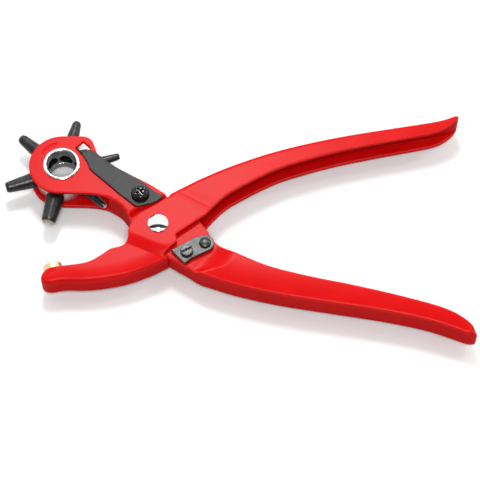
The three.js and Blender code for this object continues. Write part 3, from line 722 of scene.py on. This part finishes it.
ANVIL_INSIDE = [(ANVIL_HANDLE_WALL[0][0] - 1, ANVIL_HANDLE_WALL[0][1] + 2), *ANVIL_HANDLE_WALL,
                (FAR, FAR / 3), (FAR, -FAR), (-FAR, -FAR), (-FAR, FAR)]
JAW_HOLLOW = [*JAW_WALL, (0, 0), (-30, 0), (-50, -12)]
SLOPE = 5.2  # length of the slope from the joint's cheek down to the jaw
SLOPE_BEND = 1.7  # how hollow that slope is, where 1 is straight
SLOPE_INSIDE = 0.6  # how far the sheet's inside comes down with it
JAW_CROWN, JAW_CROWN_WIDTH = 0.7, 7.5  # the jaw's cheeks slope down towards its wall
JAW_FOLD_NEAR, JAW_FOLD_TIP = 1.6, 2.2  # radius of its fold at the joint and at the tip
JAW_FOLD_FROM, JAW_FOLD_TO = -12, -24  # x where the fold starts to change and where it has changed
HANDLE_FOLD = 2.2
CREASE_RUN = 14  # length over which the cheek comes down to the handle
CREASE_DEPTH, CREASE_HALF = 0.07, 0.7  # the line that the press leaves there


def anvil_plan(x, y):
    edge = signed(x, y, ANVIL_OUTLINE)
    handle_wall, jaw_wall = reach(x, y, ANVIL_HANDLE_WALL), reach(x, y, JAW_WALL)
    to_crease = -past(x, y, JAW_CREASE)
    to_inside = -past(x, y, JAW_INSIDE)
    slope = np.clip(1 - to_crease / SLOPE, 0, 1) ** SLOPE_BEND
    handle = smooth(past(x, y, HANDLE_CREASE) / CREASE_RUN + 0.5)
    line = CREASE_DEPTH * np.exp(-(past(x, y, HANDLE_CREASE) / CREASE_HALF) ** 2)
    top = ANVIL_JOINT_HALF - (ANVIL_JOINT_HALF - JAW_HALF) * slope
    top = top - (ANVIL_JOINT_HALF - ANVIL_HALF) * handle - line
    top = top - JAW_CROWN * np.clip(1 - jaw_wall / JAW_CROWN_WIDTH, 0, 1) ** 2
    hollow = ANVIL_JOINT_HALF - SHEET - SLOPE_INSIDE * slope - (ANVIL_JOINT_HALF - ANVIL_HALF) * handle
    near = np.minimum(handle_wall, jaw_wall)
    folded = smooth(1 - (near - np.abs(edge)) / FOLD_BAND)
    fold_change = JAW_FOLD_FROM - JAW_FOLD_TO
    jaw_fold = JAW_FOLD_TIP * smooth((JAW_FOLD_FROM - x) / fold_change)
    jaw_fold = jaw_fold + JAW_FOLD_NEAR * smooth((x - JAW_FOLD_TO) / fold_change)
    fold = np.where(jaw_wall < handle_wall, jaw_fold, HANDLE_FOLD)
    radius = EDGE_R + (fold - EDGE_R) * folded
    joint = np.where(within(x, y, ANVIL_INSIDE), SHEET - handle_wall, SHEET + handle_wall)
    joint = np.maximum(joint, -to_inside)
    jaw = np.where(within(x, y, JAW_HOLLOW), SHEET - jaw_wall, SHEET + jaw_wall)
    return edge, top, hollow, radius, joint, jaw, disc(x, y, (0, 0), RIVET_R + RUNNING)


def anvil_value(plan, z):
    edge, top, hollow, radius, joint, jaw, bore = plan
    body = both(edge, np.abs(z) - top, radius)
    hollows = np.minimum(both(joint, np.abs(z) - hollow, FOLD_INSIDE),
                         both(jaw, np.abs(z) - (JAW_HALF - SHEET), FOLD_INSIDE))
    return without(without(body, hollows, EDGE_R), bore, RIM_R)


place(solid_piece("anvil_lever_pressing", anvil_plan, anvil_value, *extent(ANVIL_OUTLINE, ANVIL_JOINT_HALF),
                  LEVER_STEP, RED), "anvil_lever", "anvil_lever")

# ---- Anvil and its seat ----
anvil_profile = [(0, 0), (ANVIL_R, 0), (ANVIL_R, -3.0), (2.0, -3.0), (2.0, -6.6), (0, -6.6)]
place(lathed("anvil_button", anvil_profile, BRASS, ANVIL_FACE, ANVIL_ANGLE, r=0.35), "anvil_lever", "anvil")

SEAT_HALF = 4.2
SEAT_X = -42.2  # the end of the block towards the joint
SEAT_DROP = 3.3  # from the anvil's face down to the block
SEAT_LINE, SEAT_DEEP = ((-50.5, -20), (-41, -18)), 9  # the block goes this far below that line
SEAT_HOLE_R, SEAT_HOLE_END = 2.05, 7.0


def seat_plan(x, y):
    inside = np.where(within(x, y, JAW_HOLLOW), SHEET + 0.3 - reach(x, y, JAW_WALL), 5.0)
    inside = both(inside, x - SEAT_X)
    inside = both(inside, -past(x, y, SEAT_LINE) - SEAT_DEEP)
    forward, across = turned_to(x - ANVIL_FACE[0], y - ANVIL_FACE[1], ANVIL_ANGLE)
    return both(inside, forward + SEAT_DROP, 0.3), across, forward


def seat_value(plan, z):
    block, across, forward = plan
    hole = np.maximum(np.hypot(across, z) - SEAT_HOLE_R, -SEAT_HOLE_END - forward)
    return without(both(block, np.abs(z) - SEAT_HALF, 0.3), hole)


place(solid_piece("anvil_seat_block", seat_plan, seat_value, (-53, -28.5, -SEAT_HALF),
                  (SEAT_X, -19, SEAT_HALF), SMALL_STEP * 1.4, BLACK_PLAIN),
      "anvil_lever", "anvil_seat")

# ---- Pivot ----
RIVET_HEAD_R = 4.7
RIVET_FOOT_R = 4.3  # the lower head is slightly tapered
RIVET_TAPER_TOP = -8.8
RIVET_UNDER = ANVIL_JOINT_HALF + GAP
DOME_HEIGHT = 1.45
DOME_SPHERE_R = (RIVET_HEAD_R**2 + DOME_HEIGHT**2) / (2 * DOME_HEIGHT)
DOME_FOOT = 8.4
dome = []
for i in range(1, 13):
    r = RIVET_HEAD_R * (1 - i / 12)
    dome.append((r, DOME_FOOT + DOME_HEIGHT - DOME_SPHERE_R + math.sqrt(DOME_SPHERE_R**2 - r**2)))
rivet_profile = [(0, -MID), (RIVET_FOOT_R, -MID), (RIVET_HEAD_R, RIVET_TAPER_TOP),
                 (RIVET_HEAD_R, -RIVET_UNDER), (RIVET_R, -RIVET_UNDER), (RIVET_R, RIVET_UNDER),
                 (RIVET_HEAD_R, RIVET_UNDER), (RIVET_HEAD_R, DOME_FOOT), *dome]
place(lathed("pivot_rivet_domed", rivet_profile, NICKEL, r=0.12), "punch_lever", "pivot_rivet")


def domed(middle, half, foot, rise, quarters, steps, fullness=1):
    """Profile run over one or two quarters of an ellipse, fuller than that if fullness is below 1."""
    turns = [math.pi / 2 * quarters * i / steps for i in range(steps + 1)]
    return [(middle + half * math.cos(a), foot + rise * math.sin(a) ** fullness) for a in turns]


def ring_profile(inner, outer, low, high):
    return [(inner, low), (outer, low), (outer, high), (inner, high)]


place(lathed("pivot_sleeve_turned", ring_profile(RIVET_R + RUNNING, 4.0, -3.1, 3.1), BLACK), "punch_lever",
      "pivot_sleeve")
for side, low, high in (("upper", 5.3, 5.9), ("lower", -5.9, -5.3)):
    washer = lathed(f"pivot_washer_{side}_rounded", ring_profile(RIVET_R + RUNNING, 6.5, low, high), BLACK)
    place(washer, "punch_lever", f"pivot_washer_{side}")

# Opening spring: a round wire with a leg on each lever.
WIRE_R = 0.65
COIL_R = 5.0
COIL_HALF = 2.1
COIL_FROM = 9.5  # degrees
COIL_TURN = 1043.2
COIL_STEPS, LEG_STEPS = 150, 12
LOWER_LEG_END = (7.3, -13.8)
UPPER_LEG_END = (14.6, 17.4)


WIRE_SIDES = 14
WIRE_CAP = ((0.5, 1.1), 0.5)  # an end's rounding: angles of its rings, and its length in wire radii


def wire(name, spine, r, finish):
    """A round wire along a run of points, with rounded ends."""
    spine = [Vector(p) for p in spine]
    run = [0.0]
    for a, b in zip(spine[:-1], spine[1:]):
        run.append(run[-1] + (b - a).length)
    points, turned, rows = [], [], []
    side = None
    for i, p in enumerate(spine):
        ahead = (spine[min(i + 1, len(spine) - 1)] - spine[max(i - 1, 0)]).normalized()
        side = ahead.orthogonal() if side is None else side - ahead * side.dot(ahead)
        side.normalize()
        other = ahead.cross(side)
        cap = [(r * math.sin(a), r * WIRE_CAP[1] * math.cos(a)) for a in WIRE_CAP[0]]
        rings = [(radius, -forward) for radius, forward in cap] if i == 0 else []
        rings += [(r, 0)]
        rings += cap[::-1] if i == len(spine) - 1 else []
        for radius, forward in rings:
            rows.append(len(points))
            for s in range(WIRE_SIDES):
                a = 2 * math.pi * s / WIRE_SIDES
                out = side * math.cos(a) + other * math.sin(a)
                points.append(tuple(p + ahead * forward + out * radius))
                turned.append((run[i] / 6, 0.0, a))
    faces = []
    for a, b in zip(rows[:-1], rows[1:]):
        for s in range(WIRE_SIDES):
            t = (s + 1) % WIRE_SIDES
            faces.append([a + s, a + t, b + t, b + s])
    faces.append([rows[0] + s for s in range(WIRE_SIDES)][::-1])
    faces.append([rows[-1] + s for s in range(WIRE_SIDES)])
    made = add_object(name, points, faces, finish, [0.0] * len(points))
    turned_attribute(made, turned)
    return made


coil = []
for i in range(COIL_STEPS + 1):
    t = i / COIL_STEPS
    coil.append((*polar((0, 0), COIL_R, COIL_FROM + COIL_TURN * t), COIL_HALF * (2 * t - 1)))
first, last = Vector(coil[0]), Vector(coil[-1])
lower = [Vector((*LOWER_LEG_END, -COIL_HALF)).lerp(first, i / LEG_STEPS) for i in range(LEG_STEPS)]
upper = [last.lerp(Vector((*UPPER_LEG_END, COIL_HALF)), i / LEG_STEPS) for i in range(1, LEG_STEPS + 1)]
spring = wire("opening_spring_wire", [*lower, *coil, *upper], WIRE_R, TURNED_STEEL)
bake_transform(spring)
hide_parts("opening_spring")

# ---- Turret ----
SHOULDER = 3.5
DRUM_SEAT_R = BUSH_R + 0.12
SPIGOT_R = 3.2
SPIGOT_START = 9.9
# Each index dimple is part of a ball, whose centre is DETENT_RISE over the drum's face.
DETENT_AT = 12.3
DETENT_R = 1.4
DETENT_RISE = 0.6
BORE_WALL = 0.25  # the bore's wall is painted grey shade to this far outside its radius,
BORE_END_R = 12.0  # and from there up to here the holes are painted near-black shade


def drum_plan(x, y):
    return x - TURRET[0], y - TURRET[1]


def drum_value(plan, z):
    x, y = plan
    r = np.hypot(x, y)
    body = both(r - DRUM_R, np.abs(z) - DRUM_HALF, 0.6)
    body = without(body, both(r - DRUM_SEAT_R, SHOULDER - np.abs(z)), 0.2)
    body = without(body, r - DRUM_BORE_R, 0.06)
    for i in range(TUBE_COUNT):
        out, aside = turned_to(x, y, TUBE_ANGLE + TUBE_PITCH * i)
        hole = both(np.hypot(aside, z) - SPIGOT_R - GAP, -out)
        body = without(body, hole, 0.2)
        dimple = polar((0, 0), DETENT_AT, TUBE_ANGLE + TUBE_PITCH * (i + 0.5))
        flat = np.hypot(x - dimple[0], y - dimple[1])
        body = without(body, np.hypot(flat, z - DRUM_HALF - DETENT_RISE) - DETENT_R, 0.1)
    return body


drum = solid_piece("turret_drum_turned", drum_plan, drum_value,
                   *column(TURRET, DRUM_R, -DRUM_HALF, DRUM_HALF), SMALL_STEP * 1.5, [ZINC, BORE_PAINTED_SHADE, HOLE_PAINTED_SHADE])
# Faces inside the bore are painted as shade: grey on its wall, near-black down the holes.
for face in drum.data.polygons:
    out = math.hypot(face.center[0] / MM - TURRET[0], face.center[1] / MM - TURRET[1])
    if out < BORE_END_R:
        face.material_index = 1 if out < DRUM_BORE_R + BORE_WALL else 2
place(drum, "turret", "turret_drum")

# Tubes in order round the turret: bore, tip and base diameters.
TUBES = ((2.5, 3.4, 4.8), (3.0, 4.3, 6.7), (3.5, 4.9, 6.9), (4.0, 5.2, 7.4), (5.0, 6.8, 8.6), (2.0, 3.1, 4.6))
COLLAR_R = 3.6  # least radius of a collar
COLLAR = (13.45, 15.0)
COLLAR_CHAMFER = 0.3
CHAMFER = 1.3  # length of the ground end
LAND, GROUND_BAND = 0.14, 0.16  # width of the cutting edge, and of what is ground bright
CLOSE_BORE = 3  # the bore is close for this far behind the edge
SLUG_EASE = 0.15  # and then widens, by this at its end
for i, (bore, tip, base) in enumerate(TUBES):
    cut = bore / 2
    collar = max(COLLAR_R, base / 2)
    profile = [
        (cut + SLUG_EASE, SPIGOT_START), (SPIGOT_R, SPIGOT_START), (SPIGOT_R, COLLAR[0]), (collar, COLLAR[0]),
        (collar, COLLAR[1] - COLLAR_CHAMFER), (base / 2, COLLAR[1]), (tip / 2, TIP_R - CHAMFER),
        (cut + LAND, TIP_R), (cut, TIP_R), (cut, TIP_R - CLOSE_BORE)]
    node = f"punch_tube_{bore:.1f}_mm".replace(".", "_")
    made = lathed(node + "_ground", profile, [BLACK, GROUND], TURRET, TUBE_ANGLE + TUBE_PITCH * i, r=0.25,
                  inner=lambda r, h, c=cut: r < c + GROUND_BAND and h > SPIGOT_START + 0.1)
    place(made, "turret", node)

FLANGE_R = 8.55
FLANGE = (PUNCH_HALF + GAP, 8.2)
BARREL_END = 3.56  # height at which the two bushes' barrels end
ROLL_MIDDLE = (DRUM_BORE_R + FLANGE_R) / 2  # the flange is a rolled lip
ROLL_HALF = (FLANGE_R - DRUM_BORE_R) / 2
ROLL_FOOT = FLANGE[0] + 0.05
ROLL_FULLNESS = 0.8  # below 1 is fuller than an ellipse
ROLL = domed(ROLL_MIDDLE, ROLL_HALF, ROLL_FOOT, FLANGE[1] - ROLL_FOOT, 2, 12, ROLL_FULLNESS)
for side, sign in (("upper", 1), ("lower", -1)):
    profile = [(DRUM_BORE_R, BARREL_END), (BUSH_R, BARREL_END), (BUSH_R, FLANGE[0]), (FLANGE_R, FLANGE[0]),
               *ROLL, (DRUM_BORE_R, FLANGE[0] - 0.4)]
    profile = [(r, sign * h) for r, h in profile]
    # The bush's barrel inside the bore is painted grey, as shade.
    made = lathed(f"turret_bush_{side}_rolled", profile, [NICKEL, BORE_PAINTED_SHADE], TURRET, r=0.12,
                  inner=lambda r, h: r < DRUM_BORE_R + 0.02 and abs(h) < FLANGE[0] - 0.3)
    place(made, "turret", f"turret_bush_{side}")

# ---- Index spring ----
LEAF_THICK = 0.8
LEAF_EDGE = 0.25
LEAF_PLAY = 0.3  # radial clearance of the screw in the leaf
LEAF_Z = PUNCH_HALF + GAP + LEAF_THICK / 2  # middle of the leaf
LEAF_OUTLINE = [
    *curve([(-36.1, 36.2), (-37, 38), (-35.4, 38.9), (-33.2, 38.8), (-31.3, 38.5), (-29.1, 36.7)], 16),
    *curve([(-26.3, 34.6), (-22.9, 31.7), (-18.2, 28.4), (-10.6, 23.8), (-6.4, 20.6), (-3.1, 17.5),
            (0.7, 15.1)], 24),
    (2.1, 13.7), (-0.4, 11.5), (-3.2, 10.2), (-6.4, 9.4), (-9.3, 8.7), (-11.2, 9.1), (-14, 11.7),
    (-17.8, 14.9), (-22.5, 19.3), (-31.1, 27.3), (-32.6, 29), (-33.9, 32.7)]
LIP_AT = (-35.5, 37.9)  # the rolled tip reaches down through the window here
LIP_HALF = 1.8
LIP_TURN = 14  # degrees
LIP_BEND = 1.3  # radius of the bend
LIP_END = DRUM_HALF + 0.35


def leaf_plan(x, y):
    edge = without(signed(x, y, LEAF_OUTLINE), disc(x, y, SCREW, SCREW_R + LEAF_PLAY), 0.2)
    return edge, *turned_to(x - LIP_AT[0], y - LIP_AT[1], LIP_TURN)


def leaf_value(plan, z):
    edge, u, v = plan
    leaf = both(edge, np.abs(z - LEAF_Z) - LEAF_THICK / 2, LEAF_EDGE)
    bend_z = LEAF_Z - LIP_BEND
    turn = np.hypot(v, z - bend_z) - LIP_BEND
    below = np.where(z <= bend_z, np.abs(v - LIP_BEND), np.hypot(v, z - LEAF_Z))
    curl = np.where((v > 0) & (z > bend_z), np.abs(turn), below)
    lip = both(both(curl - LEAF_THICK / 2, np.abs(u) - LIP_HALF, LEAF_EDGE), LIP_END - z, LEAF_EDGE)
    return either(leaf, lip, 0.3)


leaf = solid_piece("index_spring_leaf", leaf_plan, leaf_value, (-38, 8, LIP_END), (3, 40.5, LEAF_Z + 0.5),
                   SMALL_STEP * 1.3, SPRING)
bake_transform(leaf)
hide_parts("index_spring")

PAN_R = 4.1
HEAD_UNDER = PUNCH_HALF + GAP + LEAF_THICK + GAP
HEAD_TOP = 11.3
SCREW_END = 2.3
SCREW_PROFILE = [(0, SCREW_END), (SCREW_R, SCREW_END), (SCREW_R, HEAD_UNDER), (PAN_R, HEAD_UNDER),
                 (PAN_R, 9.3), (3.75, 10.3), (3.0, 10.9), (1.8, 11.2), (0, HEAD_TOP), (-1, HEAD_TOP),
                 (-1, SCREW_END)]
CROSS_TURN = 35  # degrees
CROSS_FLOOR = 9.7
CROSS_REACH, CROSS_HALF = 2.3, 0.5  # of one bar of the recess, at the top
CROSS_TAPER, SIDE_SHARE = 0.25, 0.3  # taper of a bar's ends, and the share of it that its sides have


def screw_plan(x, y):
    x, y = x - SCREW[0], y - SCREW[1]
    return np.hypot(x, y), *turned_to(x, y, CROSS_TURN)


def screw_value(plan, z):
    r, u, v = plan
    body = signed(r, z + 0 * r, SCREW_PROFILE) - 0.12
    taper = CROSS_TAPER * (z - HEAD_TOP)
    bars = [both(np.abs(a) - CROSS_REACH - taper, np.abs(b) - CROSS_HALF - SIDE_SHARE * taper, 0.2)
            for a, b in ((u, v), (v, u))]
    return without(body, both(np.minimum(*bars), CROSS_FLOOR - z, 0.1), 0.12)


place(solid_piece("index_spring_screw_pan", screw_plan, screw_value, *column(SCREW, 4.2, 2.2, 11.4),
                  SMALL_STEP, BLACK_PLAIN),
      "punch_lever", "index_spring_screw")

NUT_R = 3.5  # across its corners
NUT_MIDDLE, NUT_HALF = 4.1, 1.3
NUT_CHAMFER_R = 3.2


def nut_plan(x, y):
    x, y = x - SCREW[0], y - SCREW[1]
    flats = [np.abs(x * math.cos(a) + y * math.sin(a)) for a in (math.pi / 6, math.pi / 2, 5 * math.pi / 6)]
    return np.max(flats, axis=0) - NUT_R * math.cos(math.pi / 6), np.hypot(x, y)


def nut_value(plan, z):
    sides, r = plan
    over = np.abs(z - NUT_MIDDLE) - NUT_HALF
    body = both(sides, over, 0.1)
    body = both(body, 0.87 * over + 0.5 * (r - NUT_CHAMFER_R))  # a chamfer at 30 degrees
    return without(body, r - SCREW_R - 0.1, 0.15)


place(solid_piece("index_spring_nut_hex", nut_plan, nut_value, *column(SCREW, 3.6, 2.8, 5.4), SMALL_STEP,
                  BLACK_PLAIN),
      "punch_lever", "index_spring_nut")

# ---- Latch ----
LATCH_OUTLINE = [(6.1, -13.4), (12.4, -20.2), (15.8, -17.3), *arc(LATCH_RIVET, 4.1, -68, 105, 32),
                 (17.4, -6.5)]
STUD_SHANK_R = 1.4
STUD_HOLE_R = 1.45


def latch_plan(x, y):
    holes = np.minimum(disc(x, y, LATCH_RIVET, LATCH_RIVET_R + RUNNING), disc(x, y, LATCH_STUD, STUD_HOLE_R))
    return (without(signed(x, y, LATCH_OUTLINE), holes),)


def latch_value(plan, z):
    edge = plan[0]
    middle = (LATCH_TOP + LATCH_BOTTOM) / 2
    return both(edge, np.abs(z - middle) - (LATCH_TOP - LATCH_BOTTOM) / 2, 0.3)


place(solid_piece("latch_plate_blanked", latch_plan, latch_value, (5.8, -20.5, LATCH_BOTTOM),
                  (26, -5.4, LATCH_TOP), SMALL_STEP * 1.2, LATCH), "latch", "latch_plate")

STUD_R = 2.95
STUD_UNDER = LATCH_TOP + GAP
STUD_TOP = 8.7
STUD_SLOT_TURN = 27  # degrees
STUD_SLOT_HALF, STUD_SLOT_DEPTH = 0.45, 0.8


def stud_plan(x, y):
    x, y = x - LATCH_STUD[0], y - LATCH_STUD[1]
    return np.hypot(x, y), turned_to(x, y, STUD_SLOT_TURN)[1]


def stud_value(plan, z):
    r, v = plan
    shank = both(r - STUD_SHANK_R, np.abs(z - 6.6) - 1.0)
    middle = (STUD_UNDER + STUD_TOP) / 2
    head = both(r - STUD_R, np.abs(z - middle) - (STUD_TOP - LATCH_TOP - GAP) / 2, 0.35)
    slot = both(np.abs(v) - STUD_SLOT_HALF, STUD_TOP - STUD_SLOT_DEPTH - z)
    return without(np.minimum(shank, head), slot, 0.12)


place(solid_piece("latch_stud_slotted", stud_plan, stud_value,
                  *column(LATCH_STUD, 3, LATCH_BOTTOM, STUD_TOP), SMALL_STEP * 0.8, STUD),
      "latch", "latch_stud")

LATCH_HEAD_R = 2.7
LATCH_HEAD_FOOT, LATCH_HEAD_RISE = 7.55, 1.25
LATCH_FOOT_TOP = 3.15
latch_dome = domed(0, LATCH_HEAD_R, LATCH_HEAD_FOOT, LATCH_HEAD_RISE, 1, 8)
latch_rivet_profile = [(0, 2.4), (2.1, 2.4), (2.3, 2.6), (2.3, LATCH_FOOT_TOP),
                       (LATCH_RIVET_R, LATCH_FOOT_TOP), (LATCH_RIVET_R, LATCH_TOP + GAP),
                       (LATCH_HEAD_R, LATCH_TOP + GAP), (LATCH_HEAD_R, LATCH_HEAD_FOOT), *latch_dome[1:-1],
                       (0, LATCH_HEAD_FOOT + LATCH_HEAD_RISE)]
place(lathed("latch_rivet_domed", latch_rivet_profile, TURNED_STEEL, LATCH_RIVET, r=0.08), "punch_lever",
      "latch_rivet")
washer_profile = ring_profile(LATCH_RIVET_R + RUNNING, 3.4, PUNCH_JOINT_HALF + GAP, LATCH_BOTTOM - GAP)
place(lathed("latch_washer_rounded", washer_profile, TURNED_STEEL, LATCH_RIVET, r=0.08), "punch_lever",
      "latch_washer")

# ---- Stage: floor, lights and camera ----
FLOOR = 3.0  # metres
bpy.ops.mesh.primitive_plane_add(size=FLOOR, location=(0, 0, 0))
floor = bpy.context.object
floor.name = "studio_floor"
paper = Finish("Pale sweep", (0.72, 0.72, 0.72), 0.0, 0.7, **{"Specular IOR Level": 0.2})
shade = paper.mix(paper.spread(paper.noise(3.0), 0, 1), (0.70, 0.70, 0.70), (0.72, 0.72, 0.72))
paper.give("Base Color", shade)
floor.data.materials.append(paper.material)

AIM = Vector((37.57, -4.49, MID)) * MM  # what the camera and the lights look at


def soft_light(name, azimuth, elevation, distance, size, power):
    """A square soft light looking at the tool. Azimuth is from +X towards +Y."""
    data = bpy.data.lights.new(name, "AREA")
    data.shape = "SQUARE"
    data.size = size
    data.energy = power
    lamp = bpy.data.objects.new(name, data)
    a, e = math.radians(azimuth), math.radians(elevation)
    away = Vector((math.cos(a) * math.cos(e), math.sin(a) * math.cos(e), math.sin(e)))
    lamp.location = AIM + away * distance
    lamp.rotation_euler = away.to_track_quat("Z", "Y").to_euler()
    bpy.context.scene.collection.objects.link(lamp)


soft_light("Key from behind", 96, 59, 1.1, 0.2, 6.4)
soft_light("Second from behind", 32, 45, 1.2, 0.14, 1.6)
soft_light("Beside the camera", 268, 65, 1.05, 0.32, 7.0)

# The room: bright all round but for a dark strip overhead, a little in front of the tool, and dark low
# down in front. Each edge is in degrees in front of straight up.
STRIP_FROM, STRIP_TO, LOW_FROM = -9, 15, 37
STRIP_EDGE = 3
BACK, STRIP, FRONT, LOW = 1.22, 0.03, 1.2, 0.02


def studio_world():
    """White light whose strength depends on how far its direction leans towards the front."""
    world = bpy.data.worlds.new("Studio")
    nodes = Nodes(world)
    direction = nodes.node("ShaderNodeTexCoord").outputs["Generated"]
    way = nodes.node("ShaderNodeSeparateXYZ", _0=direction).outputs
    lean = nodes.maths("ARCTAN2", nodes.maths("MULTIPLY", way["Y"], -1), way["Z"])

    def change(start, low, high):
        """Goes from low to high where the lean passes start."""
        first, last = math.radians(start - STRIP_EDGE), math.radians(start + STRIP_EDGE)
        return nodes.node("ShaderNodeMapRange", {"interpolation_type": "SMOOTHSTEP"}, Value=lean,
                          From_Min=first, From_Max=last, To_Min=low, To_Max=high).outputs["Result"]

    front = nodes.maths("ADD", change(STRIP_TO, 0, FRONT - STRIP), change(LOW_FROM, 0, LOW - FRONT))
    background = world.node_tree.nodes["Background"]
    nodes.tree.links.new(nodes.maths("ADD", change(STRIP_FROM, BACK, STRIP), front),
                         background.inputs["Strength"])
    background.inputs["Color"].default_value = (1, 1, 1, 1)
    return world


bpy.context.scene.world = studio_world()
bpy.context.scene.view_settings.view_transform = "Standard"

CAMERA_DISTANCE = 0.88  # metres
CAMERA_ELEVATION = 62.285  # degrees
SENSOR, LENS, NEAREST = 36, 143.2, 0.01  # sensor and lens in millimetres, nearest in metres
camera_data = bpy.data.cameras.new("Camera")
camera_data.sensor_width = SENSOR
camera_data.lens = LENS
camera_data.clip_start = NEAREST
camera = bpy.data.objects.new("Camera", camera_data)
tilt = math.radians(CAMERA_ELEVATION)
camera.location = AIM + Vector((0, -math.cos(tilt), math.sin(tilt))) * CAMERA_DISTANCE
camera.rotation_euler = (math.pi / 2 - tilt, 0, 0)
bpy.context.scene.collection.objects.link(camera)
bpy.context.scene.camera = camera
